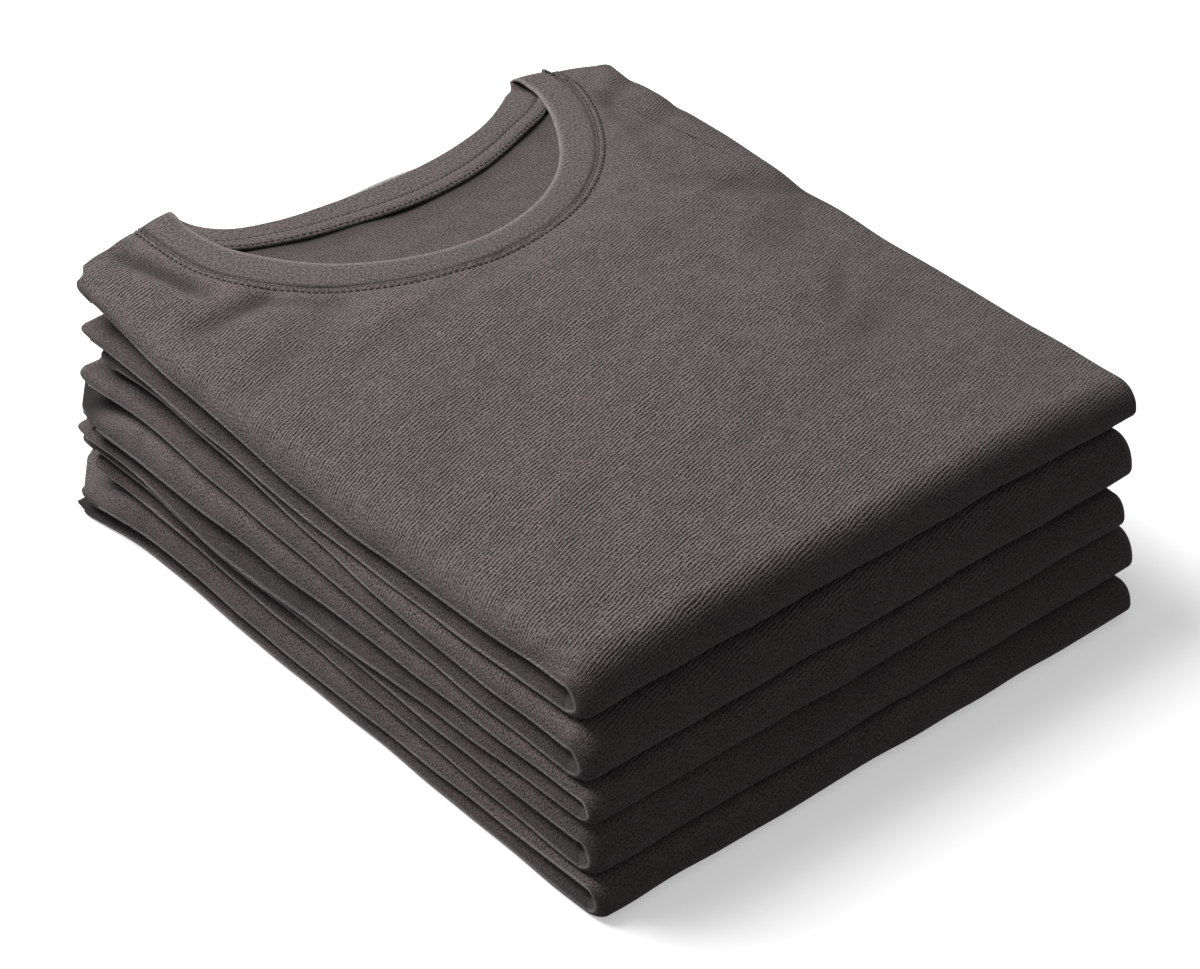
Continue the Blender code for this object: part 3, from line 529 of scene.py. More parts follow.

# %% [markdown]
# ## Creases
#
# Folded jersey is never quite flat. Each crease is a soft trough or ridge with its own place, direction,
# length, width and height. They are placed in the cloth's own measures: u runs across the shirt and v
# along it, so that v goes down over the roll and on along the underside. A crease moves the surface along
# its own normal, and the sides that nobody sees first get some as well.

# %% Creases on the cloth
CREASES = {
    # (u, v, degrees from u, length, width, height)
    1: (
        (37.5, 334.0, -79.0, 58.0, 6.5, -3.2),
        (50.0, 289.0, 6.0, 54.0, 6.0, -2.6),
        (31.0, 317.0, -84.0, 44.0, 7.0, 0.9),
        (16.0, 338.0, -80.0, 46.0, 6.0, 0.6),
        (68.0, 277.0, -40.0, 40.0, 5.0, -0.9),
        (62.0, 258.0, 26.0, 110.0, 9.0, -0.8),
        (108.0, 236.0, 14.0, 90.0, 7.0, -0.7),
        (258.0, 138.0, 46.0, 50.0, 6.0, -1.2),
        (250.0, 110.0, 30.0, 40.0, 6.0, -0.9),
        (221.0, 196.0, -21.0, 38.0, 2.6, 0.8),
        (276.0, 300.0, 70.0, 90.0, 4.5, -1.0),
        (268.0, 284.0, 66.0, 64.0, 3.5, 0.6),
        (3.0, 22.0, -72.0, 34.0, 3.0, -0.7),
        (14.0, 20.0, -58.0, 30.0, 3.0, -0.6),
        (292.0, 225.0, -36.0, 60.0, 10.0, -1.3),
        (284.0, 196.0, 24.0, 70.0, 12.0, -0.8),
        (246.0, 232.0, 16.0, 100.0, 4.0, 0.55),
        (222.0, 212.0, 20.0, 80.0, 7.0, -0.4),
        (296.0, 330.0, 24.0, 46.0, 5.0, -1.0),
        (300.0, 300.0, 14.0, 56.0, 6.0, -0.9),
        (302.0, 345.0, 40.0, 40.0, 4.0, 0.8),
        (30.0, 42.0, -28.0, 60.0, 5.0, 0.5),
        (52.0, 30.0, -20.0, 70.0, 5.0, -0.5),
        (120.0, 120.0, 24.0, 150.0, 16.0, 0.45),
        (190.0, 90.0, 18.0, 170.0, 18.0, -0.4),
        (80.0, 170.0, 30.0, 140.0, 14.0, -0.4),
        (230.0, 150.0, 10.0, 120.0, 14.0, 0.35),
        (150.0, 200.0, 16.0, 110.0, 10.0, 0.3),
        (140.0, -120.0, -20.0, 160.0, 14.0, 0.5),
        (220.0, -220.0, 35.0, 120.0, 12.0, -0.6),
    ),
    2: (
        (60.0, 6.0, 4.0, 120.0, 5.0, -0.5),
        (210.0, 2.0, -3.0, 140.0, 6.0, 0.45),
        (6.0, 210.0, 78.0, 90.0, 6.0, -0.6),
        (4.0, 120.0, 84.0, 80.0, 5.0, 0.5),
        (292.0, 160.0, 80.0, 110.0, 7.0, -0.5),
        (180.0, 330.0, 12.0, 90.0, 8.0, 0.6),
    ),
    3: (
        (90.0, 4.0, -3.0, 150.0, 5.0, 0.5),
        (250.0, -2.0, 5.0, 90.0, 5.0, -0.5),
        (5.0, 250.0, 80.0, 100.0, 6.0, 0.5),
        (3.0, 90.0, 95.0, 90.0, 5.0, -0.5),
        (288.0, 220.0, 96.0, 120.0, 6.0, 0.5),
        (120.0, 335.0, -10.0, 80.0, 7.0, -0.6),
    ),
    4: (
        (150.0, -6.0, 3.0, 160.0, 6.0, -0.5),
        (40.0, 0.0, -6.0, 70.0, 5.0, 0.5),
        (4.0, 160.0, 82.0, 120.0, 6.0, -0.5),
        (2.0, 290.0, 70.0, 60.0, 5.0, 0.6),
        (290.0, 120.0, 84.0, 100.0, 6.0, -0.5),
        (200.0, 340.0, 8.0, 80.0, 6.0, 0.5),
    ),
    5: (
        (110.0, -10.0, -4.0, 140.0, 6.0, 0.5),
        (240.0, -12.0, 2.0, 100.0, 5.0, -0.5),
        (2.0, 200.0, 97.0, 110.0, 6.0, 0.5),
        (0.0, 60.0, 82.0, 80.0, 5.0, -0.5),
        (292.0, 250.0, 78.0, 90.0, 6.0, 0.5),
    ),
}
SWELL = 0.22
SWELL_WAVES = (
    # (wave length, direction in radians, share)
    (86.0, 0.2, 1.0),
    (61.0, 1.1, 0.8),
    (43.0, -0.5, 0.6),
    (29.0, 0.7, 0.45),
)
SWELL_SHIFT = 1.7
SEAM_CLEAR = (2.0, 11.0)
SEAM_STEPS = 160
SEAM_BORDER = 10.0
# painted shade in the neck seam's grooves
SEAM_GROOVE_SHADE = 5.0
FAR = 1000.0
STITCH_ROWS = (1.1, 3.7)
SEAM_BELLS = (
    # (distance, width, height)
    (STITCH_ROWS[0], 0.6, -0.35),
    (2.4, 1.0, 0.5),
    (STITCH_ROWS[1], 0.7, -0.3),
)


def seam_distance(x, y):
    """The distance of points from the front neck seam, taken to the nearest of its short stretches."""
    seam = np.stack(front_seam(SEAM_STEPS), axis=-1)
    start, step = seam[:-1], np.diff(seam, axis=0)
    near = np.flatnonzero((y > NECK_START - SEAM_BORDER).ravel())
    distance = np.full(x.size, FAR)
    points = np.stack([x.ravel()[near], y.ravel()[near]], axis=-1)[:, None]
    share = np.clip(((points - start) * step).sum(axis=-1) / (step**2).sum(axis=-1), 0, 1)
    distance[near] = np.linalg.norm(points - start - step * share[..., None], axis=-1).min(axis=1)
    return distance.reshape(x.shape)


def seam_relief(distance):
    """Two thin grooves under the rows of stitches, and a low cord between them: a sum of bell curves."""
    return sum(height * bell(distance, middle, width) for middle, width, height in SEAM_BELLS)


def crease_height(shirt, u, v):
    """For each crease its height times exp(-(across / width)^2 - (2 along / length)^4)."""
    height = np.zeros_like(u)
    for u0, v0, degrees, length, width, crease in CREASES[shirt]:
        angle = np.radians(degrees)
        along = (u - u0) * np.cos(angle) + (v - v0) * np.sin(angle)
        across = (v - v0) * np.cos(angle) - (u - u0) * np.sin(angle)
        height += crease * np.exp(-((across / width) ** 2) - (2 * along / length) ** 4)
    return height


def swell_height(shirt, u, v):
    """A slow swell of four crossed sine waves, which start elsewhere on each shirt."""
    shift = SWELL_SHIFT * shirt
    return SWELL * sum(
        share * np.sin(2 * np.pi * (u * np.cos(turn) + v * np.sin(turn)) / wave + shift * share)
        for wave, turn, share in SWELL_WAVES
    )


def relief(shirt, u, v):
    """(height, trough) of the cloth over its smooth form. On the top shirt the creases die out towards the
    neck seam, which has a relief of its own. Trough is how far a crease or the seam goes in, and it sets the
    painted shade there."""
    creases, seam = crease_height(shirt, u, v), np.zeros_like(u)
    if shirt == 1:
        distance = seam_distance(u, v)
        creases *= ramp(distance, *SEAM_CLEAR)
        seam = seam_relief(distance)
    # the trough sets how much shade is painted in the creases and in the seam's grooves
    trough = np.minimum(creases, 0.0) + SEAM_GROOVE_SHADE * np.minimum(seam, 0.0)
    return creases + seam + swell_height(shirt, u, v), trough


def outward(grid):
    """Unit normals of a grid, from the cross product of its row and column directions."""
    normal = np.cross(np.gradient(grid, axis=0), np.gradient(grid, axis=1))
    return normal / np.maximum(np.linalg.norm(normal, axis=-1, keepdims=True), 1e-9)


def cloth_measures(grid, turn, sides):
    """(u, v) of every point in the cloth's own measures. On the flat u is x. Down a side it goes on along
    the section. On the top half v is y, and then it goes on down the roll and along the bottom half."""
    steps = np.linalg.norm(np.diff(grid, axis=1), axis=-1)
    u = grid[..., 0].copy()
    u[:, : sides - 1] = u[:, sides - 1 : sides] - np.cumsum(steps[:, : sides - 1][:, ::-1], axis=1)[:, ::-1]
    u[:, -sides + 1 :] = u[:, -sides : -sides + 1] + np.cumsum(steps[:, -sides + 1 :], axis=1)
    v = grid[..., 1].copy()
    roll = np.flatnonzero(turn > 0)[0]
    under = np.flatnonzero(turn == 1)[0]
    middle = grid.shape[1] // 2
    around = np.cumsum(np.linalg.norm(np.diff(grid[:, middle], axis=0), axis=-1))
    start = grid[roll - 1, middle, 1]
    v[roll:under] = start - (around[roll - 1 : under - 1] - around[roll - 2])[:, None]
    v[under:] = v[under - 1, middle] + grid[under, middle, 1] - grid[under:, :, 1]
    return u, v


def creased_strip(shirt, detail):
    """The shirt's skin with its creases, as (grid, u, v, trough), where trough is how far a crease goes in.
    On the flat top, where columns crowd together at the neck, the skin moves straight up and down."""
    grid = strip(shirt, detail, seam=front_seam)
    turn, _ = strip_rows(shirt, detail)
    sides = detail["flap"] + sum(detail["round"]) + 1
    u, v = cloth_measures(grid, turn, sides)
    height, trough = relief(shirt, u, v)
    away = outward(grid)
    away[turn == 0, sides:-sides] = (0.0, 0.0, 1.0)
    grid = grid + away * height[..., None]
    grid[..., 2] = np.maximum(grid[..., 2], 0.0)
    return grid, u, v, trough


print("creases on the top shirt:", len(CREASES[1]))

# %% [markdown]
# ## Meshes
#
# A grid of points becomes a mesh with one quad between four neighbours. Each piece of cloth is an open
# sheet, and a Solidify modifier grows its wall inwards, so that its outside stays where it was worked out.
# The cloth's own measures go into its UV map, in metres, so that the knit follows the cloth round every
# fold.

# %% From grids to pieces
PLAIN_GRAIN = 0.35


def grid_faces(rows, columns, closed=False):
    """The quads of a grid, as rows of four vertex numbers. A closed grid's last row joins its first."""
    index = np.arange(rows * columns).reshape(rows, columns)
    if closed:
        index = np.vstack([index, index[:1]])
    return np.stack([index[:-1, :-1], index[1:, :-1], index[1:, 1:], index[:-1, 1:]], axis=-1).reshape(-1, 4)


def tube_faces(rows, columns, closed=False):
    """The quads of a grid whose last column joins its first."""
    faces = grid_faces(rows, columns + 1, closed)
    return faces // (columns + 1) * columns + faces % (columns + 1) % columns


def join(parts):
    """Several (points, faces) as one."""
    counts = np.cumsum([0] + [len(points) for points, _ in parts[:-1]])
    faces = [faces + count for (_, faces), count in zip(parts, counts)]
    return np.vstack([points for points, _ in parts]), np.vstack(faces)


def piece(name, points, faces, measures, slot, replaces, edge=None, grain=None):
    """A mesh object in metres, with its cloth measures as UV map, and two attributes: edge, its wear, painted
    light and painted shade, and grain, the strength of its ridges. It rides on the stack's one body, and
    stands for the solids that it replaces."""
    points = (np.asarray(points, dtype=float).reshape(-1, 3) - (*STACK_MIDDLE, 0.0)) * MM
    mesh = bpy.data.meshes.new(name)
    mesh.from_pydata(points.tolist(), [], faces.tolist())
    corners = np.empty(len(mesh.loops), dtype=np.int32)
    mesh.loops.foreach_get("vertex_index", corners)
    uv = mesh.uv_layers.new(name="cloth")
    uv.data.foreach_set("uv", (np.asarray(measures).reshape(-1, 2)[corners] * MM).ravel())
    for label, values, plain in (("edge", edge, 0.0), ("grain", grain, PLAIN_GRAIN)):
        values = np.full(len(points), plain) if values is None else np.asarray(values, float).ravel()
        mesh.attributes.new(label, "FLOAT", "POINT").data.foreach_set("value", values)
    mesh.shade_smooth()
    made = bpy.data.objects.new(name, mesh)
    bpy.context.scene.collection.objects.link(made)
    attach(made, "root")
    if replaces:
        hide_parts(*replaces)
    return made


def thicken(sheet, wall=WALL):
    """Gives a sheet its wall, grown inwards from its outside."""
    solidify = sheet.modifiers.new("wall", "SOLIDIFY")
    solidify.thickness = wall * MM
    solidify.offset = -1.0
    return sheet


# %% [markdown]
# ## The front panels
#
# The front of a shirt is most of what shows: it lies on top, rolls over at the fold end, comes back
# underneath, and its sides turn in behind. So one sheet makes all of it, and the creases run on without a
# break. At the neck end the shoulders roll down over the layers inside, as a few more rows on the
# shoulders' columns alone.

# %% Front panels
ROLL_STEPS = 9
ROLL_OUT = 2.2
ROLL_DOWN = 2.6
ROLL_DEEPEST = 0.8
ROLL_END = 2.5
# a line along the creases, worn light and with a painted highlight where light catches the fold
CREASE_GLOW = 0.8
CREASE_WEAR_AND_HIGHLIGHT = 1.4
# painted shade in the creases' troughs
CREASE_SHADE = 0.26
# the top grows a little darker towards the right
RIGHT_DARKENING = 0.16
RIGHT_SIDE = (130.0, WIDTH)
# darker past the sides
SIDE_DARKENING = 0.26
SIDE_BORDER = 6.0
# painted highlight on the roll's lower rim, painted shade on its upper half: (strength, place in the roll,
# width)
ROLL_RIM_LIGHT = (0.3, 0.92, 0.1)
ROLL_SHADE = (0.35, 0.3, 0.22)
# painted shade along the bottom half's sides near the roll
CORNER_SHADE = 0.5
CORNER_TURN = 0.55
CORNER_REACH = 26.0
# painted shade in the dark mouths at the left corner
MOUTH_SHADE = -1.2
MOUTH_START = (LENGTH - 38.0, LENGTH - 8.0)
# (start, end, least strength) of the ridges' fading
LEFT_FADE = (-6.0, 20.0, 0.15)
RIGHT_FADE = (280.0, 130.0, 0.6)
ROLL_FADE = (-10.0, 12.0, 0.15)
SEAM_FADE = (2.0, 40.0, 0.3)
DETAIL = {1: FINE, 2: PLAIN, 3: PLAIN, 4: PLAIN, 5: PLAIN}


def shoulder_rows(shirt, end):
    """The end row moved out by ROLL_OUT sin(a) and down by ROLL_DOWN (1 - cos(a)), for angles a up to
    ROLL_END. Both shrink down the rounded sides, where the cloth is folded already."""
    top, inner = half_heights(shirt, "upper", end[:, 0], end[:, 1])
    share = np.clip((end[:, 2] - inner) / (top - inner), 0, 1)
    angle = np.linspace(ROLL_END, 0, ROLL_STEPS + 1)[:-1, None]
    out = ROLL_OUT * np.sin(angle) * share
    down = np.minimum(ROLL_DOWN * (1 - np.cos(angle)), ROLL_DEEPEST * (top - inner)) * share
    return end + np.stack([np.zeros_like(out), out, -down], axis=-1), angle[:, 0]


def front_painted_light(shirt, grid, turn):
    """Painted shade where the folded cloth shuts light out: bell curves down the roll's upper half, along the
    bottom half's side near the roll, and in the mouths at the left corner. The roll's lower rim gets a
    painted highlight."""
    x, y, turn = grid[..., 0], grid[..., 1], turn[:, None]
    lightened, roll_shaded = (strength * bell(turn, place, width) for strength, place, width in (ROLL_RIM_LIGHT, ROLL_SHADE))
    wear_and_painted_light = np.where((turn > 0) & (turn < 1), lightened - roll_shaded, 0.0)
    side = bell(np.minimum(np.abs(x), np.abs(x - WIDTH)), 0.0, FLAP_START)
    corner = np.where(turn > CORNER_TURN, bell(y, SHIRTS[shirt][0], CORNER_REACH), 0.0)
    wear_and_painted_light = wear_and_painted_light - CORNER_SHADE * side * corner
    left = bell(x, 0.0, 2 * FLAP_START) * ramp(y, *MOUTH_START)
    for half, rows in (("upper", turn < 0.5), ("lower", turn > 0.5)):
        if (shirt, half) in MOUTHS:
            wear_and_painted_light = wear_and_painted_light + MOUTH_SHADE * left * rows
    return wear_and_painted_light


def fade(value, start, end, least):
    """From least, before start, to 1, past end, along a ramp."""
    return least + (1 - least) * ramp(value, start, end)


def front_grain(shirt, u, v):
    """The ridges' strength: they are fainter down the left side, towards the right, over the roll, and in a
    border along the top shirt's neck seam."""
    grain = fade(u, *LEFT_FADE) * fade(u, *RIGHT_FADE) * fade(v, *ROLL_FADE)
    if shirt == 1:
        grain *= fade(seam_distance(u, v), *SEAM_FADE)
    return grain


def front_wear_and_painted_light(shirt, grid, turn, u, trough, crease):
    """The wear and painted light of a front: a line along both creases, worn light and with a painted
    highlight, painted shade in the troughs, a little darker towards the right, and darker past the sides, of
    which a top half takes half."""
    from_crease = np.minimum(np.abs(u - u[:, crease, None]), np.abs(u - u[:, -crease - 1, None]))
    edge = CREASE_WEAR_AND_HIGHLIGHT * bell(from_crease, 0.0, CREASE_GLOW) + CREASE_SHADE * trough
    edge += front_painted_light(shirt, grid, turn) - RIGHT_DARKENING * ramp(u, *RIGHT_SIDE)
    past_side = ramp(-u, 0.0, SIDE_BORDER) + ramp(u - WIDTH, 0.0, SIDE_BORDER)
    return edge - SIDE_DARKENING * past_side * (0.5 + 0.5 * turn[:, None])


def front_panel(shirt):
    """The creased strip and its shoulder rows, with the faces past the end only on the shoulders."""
    detail = DETAIL[shirt]
    grid, u, v, trough = creased_strip(shirt, detail)
    turn, _ = strip_rows(shirt, detail)
    rolled, angle = shoulder_rows(shirt, grid[0])
    extra, columns = len(rolled), grid.shape[1]
    crease = detail["flap"] + detail["round"][0]
    tip = detail["flap"] + sum(detail["round"]) + detail["shoulder"] + 1
    column = np.arange(columns - 1)
    from_side = np.minimum(column, columns - 2 - column)
    shoulders = (from_side >= crease) & (from_side < tip)
    faces = grid_faces(extra + len(grid), columns).reshape(-1, columns - 1, 4)
    faces = np.concatenate([faces[:extra, shoulders].reshape(-1, 4), faces[extra:].reshape(-1, 4)])
    used = np.unique(faces)

    def on_all(values, first):
        """Values on the strip and, ahead of them, on the shoulder rows, where a vertex is used."""
        return np.vstack([np.broadcast_to(first, (extra, columns)), values]).ravel()[used]

    points = np.vstack([rolled, grid]).reshape(-1, 3)[used]
    along = on_all(v, v[:1] + ROLL_DOWN * angle[:, None])
    measures = np.stack([on_all(u, u[:1]), along], axis=-1)
    looks = (front_wear_and_painted_light(shirt, grid, turn, u, trough, crease), front_grain(shirt, u, v))
    edge, grain = (on_all(values, values[:1]) for values in looks)
    name, solid = f"shirt_{shirt}_front", f"shirt_{shirt}_front_panel"
    faces = np.searchsorted(used, faces)
    return thicken(piece(name, points, faces, measures, "front_panel", [solid], edge, grain))


fronts = [front_panel(shirt) for shirt in SHIRTS]
print("front panels:", ", ".join(f"{len(made.data.polygons)} faces" for made in fronts))

# %% [markdown]
# ## The layers inside
#
# Behind the front lies the back of the shirt, turned in with it, and at the neck end their edges show as
# layers. Two thinner strips of the same form, nested in each other and a little uneven at their ends, give
# those layers.

# %% Inner layers
LAYER_WALL = 0.9
LAYERS = (
    # (inset, reach)
    (1.7, 342.0),
    (3.3, 339.0),
)
LAYER_STAGGER = 0.7
HOLLOW = 3.6
END_HOLLOW = 4.0
LEAST_ROOM = 1.0
LOWER_HOLLOW = 0.3
# painted shade over the layers and sleeves that lie inside
INNER_SHADE = -0.4
CUT_EDGE = 0.9


def neck_hollow(shirt, x, y):
    """How much lower the layers lie under the front than they could, to leave room for the back panel.
    Under the lower shirts, whose panels are small, it is LOWER_HOLLOW of that."""
    top, inner = half_heights(shirt, "upper", x, y, LAYERS[0][0])
    deeper = END_HOLLOW * ramp(y, ENDS_START, LENGTH) * ramp(x, CORNER_WIDTH, FLAP_WIDTH)
    return np.clip(top - inner - LEAST_ROOM, 0.0, HOLLOW + deeper) * (1.0 if shirt == 1 else LOWER_HOLLOW)


def inner_shade_and_wear(grid):
    """Painted shade darkens the inside, most of all at the left corner, and its cut ends are worn light."""
    corner = bell(grid[..., 0], 0.0, FLAP_START) * ramp(grid[..., 1], ENDS_START, LENGTH - 2 * FLAP_START)
    wear_and_painted_light = INNER_SHADE + MOUTH_SHADE * corner
    wear_and_painted_light[[0, -1]] = CUT_EDGE
    return wear_and_painted_light.ravel()


def inner_layers(shirt):
    """The nested strips as one mesh. Their ends wave a little: reach + sin(x / 23) + 0.6 sin(x / 9)."""
    parts, measures, wear_and_painted_light = [], [], []
    turn, _ = strip_rows(shirt, INNER)
    sides = INNER["flap"] + sum(INNER["round"]) + 1
    for inset, reach in LAYERS:
        grid = strip(shirt, INNER, inset=inset, end=reach - LAYER_STAGGER * shirt % 2)
        past = np.clip((grid[..., 1] - ENDS_START) / (reach - ENDS_START), 0, 1)
        grid[..., 1] += past * (np.sin(grid[..., 0] / 23 + shirt) + 0.6 * np.sin(grid[..., 0] / 9 + inset))
        top = grid[turn == 0, sides:-sides]
        top[..., 2] -= neck_hollow(shirt, top[..., 0], top[..., 1])
        grid[turn == 0, sides:-sides] = top
        parts.append((grid.reshape(-1, 3), grid_faces(*grid.shape[:2])))
        measures.append(np.stack(cloth_measures(grid, turn, sides), axis=-1))
        wear_and_painted_light.append(inner_shade_and_wear(grid))
    name, solid = f"shirt_{shirt}_inner_layers", f"shirt_{shirt}_hidden_layers"
    made = piece(name, *join(parts), np.vstack(measures), "hidden_layers", [solid], np.concatenate(wear_and_painted_light))
    return thicken(made, LAYER_WALL)


inners = [inner_layers(shirt) for shirt in SHIRTS]
print("inner layers:", ", ".join(f"{len(made.data.polygons)} faces" for made in inners))

# %% [markdown]
# ## The rib bands
#
# A crew neck is finished with a band of rib, folded double and sewn on with its raw edges hidden. A flat
# ring would have sharp edges, so the band is a closed tube with a flat section: its outline is a slim
# rounded bar between the seam and the rim, carried round the ring of sections. It swells slightly in its
# middle.

# %% Rib bands
BAND_WALL = 1.5
BAND_CROWN = 0.35
BAND_STEPS = (9, 4)
RING_STEPS = {1: 260, 2: 90, 3: 90, 4: 90, 5: 90}
SEAM_ROOM = {1: 0.45, 2: 0.8, 3: 0.8, 4: 0.8, 5: 0.8}
FLAT_COLLAR_LIFT = -0.2
RIM_GLOW = 1.2
SEAM_SHADE = 0.7
SEAM_SHADE_REACH = 1.1
UNDERSIDE = -0.5


def slim_bar(width_steps, end_steps):
    """The outline of a slim bar as (share of the width, share of half the wall): over the top from the seam
    to the rim, round the rim by a half circle, back below, and round the seam edge."""
    flat = np.linspace(0, 1, width_steps + 1)
    angle = np.linspace(0, np.pi, end_steps + 1)[1:-1]
    across = np.concatenate([flat, 1 + 0 * angle, flat[::-1], 0 * angle])
    bulge = np.concatenate([0 * flat, np.sin(angle), 0 * flat, -np.sin(angle)])
    up = np.concatenate([1 + 0 * flat, np.cos(angle), -1 + 0 * flat, -np.cos(angle)])
    return across, bulge, up


def band_frame(shirt, places):
    """(seam points, direction across, width, direction up) of the band at places round the ring."""
    sections = ring_sections(places)
    seam, rim = sections[:, :3].copy(), sections[:, 3:].copy()
    seam[:, 2] = np.minimum(seam[:, 2], 0.0)
    if shirt > 1:
        seam[:, 2] = rim[:, 2] = FLAT_COLLAR_LIFT
    for line in (seam, rim):
        line[:, 2] += half_heights(shirt, "upper", line[:, 0], line[:, 1])[0]
    across = rim - seam
    width = np.linalg.norm(across, axis=1, keepdims=True)
    across /= width
    seam += SEAM_ROOM[shirt] * across
    width -= SEAM_ROOM[shirt]
    middle = seam + across * width / 2
    along = np.roll(middle, -1, axis=0) - np.roll(middle, 1, axis=0)
    up = np.cross(along, across)
    up /= np.linalg.norm(up, axis=1, keepdims=True)
    return seam, across, width, up


def rib_band(shirt):
    """The slim bar carried round the ring, below the table's surface in front and above it behind, with a
    crown of BAND_CROWN sin(pi t) across its outside. Its rim is worn light, and painted shade darkens it
    along the seam."""
    places = np.linspace(0, RING_PLACES[-1], RING_STEPS[shirt] + 1)[:-1]
    seam, across, width, up = (part[:, None] for part in band_frame(shirt, places))
    share, bulge, rise = (part[None, :, None] for part in slim_bar(*BAND_STEPS))
    half = BAND_WALL / 2
    crown = BAND_CROWN * np.sin(np.pi * share) * (rise > 0)
    grid = seam + across * (width * share + half * bulge) + up * (half * (rise - 1) + crown)
    faces = tube_faces(*grid.shape[:2], closed=True)
    from_seam = (width * share)[..., 0]
    measures = np.stack([np.repeat(places[:, None], grid.shape[1], axis=1), from_seam], axis=-1)
    wear_and_painted_light = bell(from_seam, width[..., 0], RIM_GLOW) * (rise[..., 0] > UNDERSIDE)
    wear_and_painted_light = wear_and_painted_light - SEAM_SHADE * bell(from_seam, 0.0, SEAM_SHADE_REACH)
    name, solid = f"shirt_{shirt}_neck_band", f"shirt_{shirt}_collar"
    return piece(name, grid, faces, measures, "collar", [solid], wear_and_painted_light)


for shirt in SHIRTS:
    rib_band(shirt)

# %% [markdown]
# ## The back of the neck
#
# Inside the neck the back panel shows, just under the front, up to the band's back seam. A tape of the same
# cloth covers that seam, from shoulder to shoulder. It is a soft roll about ten millimetres wide. The tape
# and the panel are both grids between two curves, so they follow the seam exactly. The panel is plain
# cloth, with no print.

# %% Back panels and neck tapes
BACK_STEPS = {1: (90, 40), 2: (16, 6), 3: (16, 6), 4: (16, 6), 5: (16, 6)}
BACK_START = {1: 225.0, 2: 290.0, 3: 290.0, 4: 290.0, 5: 290.0}
BACK_DEPTH = {1: 2.5, 2: 0.0, 3: 0.0, 4: 0.0, 5: 0.0}
BACK_SEAM_GAP = 0.3
BACK_RIPPLE = 0.4
BETWEEN_FLAPS = (0.36, 0.64)
TAPE_WALL = 1.0
TAPE_STEPS = 8
TAPE_SHORT = 3
TAPE_START = 0.6
TAPE_WIDTH = 10.0
TAPE_ROLL = 1.1
# painted shade over the back panel inside the neck
INSIDE_SHADE = -0.27
TAPE_SHADE = -0.6
TAPE_SHADE_REACH = 6.0
INSIDE_GRAIN = 0.2


def back_height(shirt, x, y):
    """The back panel's height: a little under the front."""
    return half_heights(shirt, "upper", x, y)[0] - BACK_DEPTH[shirt]


def nape_line(shirt, steps):
    """The part of the back seam that is made, from left to right: all of it on top, its middle below."""
    x, y = back_seam(4 * steps)
    if shirt == 1:
        return x[::4], y[::4]
    first, last = (round(share * 4 * steps) for share in BETWEEN_FLAPS)
    pick = np.linspace(first, last, steps + 1)
    return np.interp(pick, np.arange(len(x)), x), np.interp(pick, np.arange(len(y)), y)


def back_panel(shirt, steps, rows):
    """The panel's rows run from the neck seam forward to BACK_START. The top one has a ripple of
    BACK_RIPPLE sin(x/9 + y/17) sin(y/13 - x/37), and goes in where the front does."""
    end_x, end_y = nape_line(shirt, steps)
    share = np.linspace(1, 0, rows + 1)[:, None]
    y = BACK_START[shirt] + (end_y[None] - BACK_SEAM_GAP - BACK_START[shirt]) * share
    x = np.repeat(end_x[None], rows + 1, axis=0)
    grid = np.stack([x, y, back_height(shirt, x, y)], axis=-1)
    if shirt == 1:
        ripple = BACK_RIPPLE * np.sin(x / 9 + y / 17) * np.sin(y / 13 - x / 37)
        grid[..., 2] += ripple + np.minimum(relief(1, x, y)[0], 0)
    faces = grid_faces(*grid.shape[:2])
    # painted shade inside the neck, deepest just under the tape
    wear_and_painted_light = INSIDE_SHADE + TAPE_SHADE * np.exp(-((end_y[None] - y - TAPE_WIDTH) / TAPE_SHADE_REACH))
    grain = np.full_like(x, INSIDE_GRAIN)
    name, solid = f"shirt_{shirt}_back", f"shirt_{shirt}_back_panel"
    return thicken(piece(name, grid, faces, grid[..., :2], "back_panel", [solid], wear_and_painted_light, grain))


def tape_points(shirt, seam_x, seam_y, share):
    """Points on the tape, at a share of its width from the seam: a flat arch, TAPE_ROLL sin(pi share) high
    on the top shirt."""
    y = seam_y - TAPE_START - (TAPE_WIDTH - TAPE_START) * share
    x = seam_x + 0 * y
    arch = TAPE_ROLL * np.sin(np.pi * share) * (shirt == 1)
    return np.stack([x, y, back_height(shirt, x, y) + TAPE_WALL + BACK_SEAM_GAP + arch], axis=-1)


def neck_tape(shirt, steps):
    """The tape as a grid from the seam forward. The top one stops TAPE_SHORT steps off the shoulders."""
    seam_x, seam_y = nape_line(shirt, steps)
    if shirt == 1:
        seam_x, seam_y = (part[TAPE_SHORT:-TAPE_SHORT] for part in (seam_x, seam_y))
    share = np.linspace(0, 1, TAPE_STEPS + 1)[:, None]
    grid = tape_points(shirt, seam_x, seam_y, share)
    around = lengths_along(np.column_stack([seam_x, seam_y]))
    measures = np.stack(np.broadcast_arrays(around, TAPE_WIDTH * share), axis=-1)
    name, solid = f"shirt_{shirt}_tape", f"shirt_{shirt}_neck_tape"
    return thicken(piece(name, grid, grid_faces(*grid.shape[:2]), measures, "neck_tape", [solid]), TAPE_WALL)


for shirt in SHIRTS:
    steps, rows = BACK_STEPS[shirt]
    back = back_panel(shirt, steps, rows)
    tape = neck_tape(shirt, steps)
print("back panels and tapes:", 2 * len(SHIRTS), "pieces")

# %% [markdown]
# ## The sleeves
#
# Each sleeve is turned in with its side and lies flat between the two flaps, so only its opening shows,
# between the layers at the neck end. It is a tube pressed flat: two walls that meet in a fold.

# %% Sleeves
SLEEVE_HALF = 1.35
# along the sleeve, across a wall, and round the fold
SLEEVE_STEPS = (26, 13, 8)
SLEEVE_ROWS = np.array((
    # (y, distance in from the side, width)
    (265.0, 17.0, 78.0),
    (290.0, 12.0, 86.0),
    (308.0, 10.0, 90.0),
    (327.0, 10.0, 90.0),
    (342.0, 12.0, 84.0),
))
SLEEVE_CREASE = 2.2


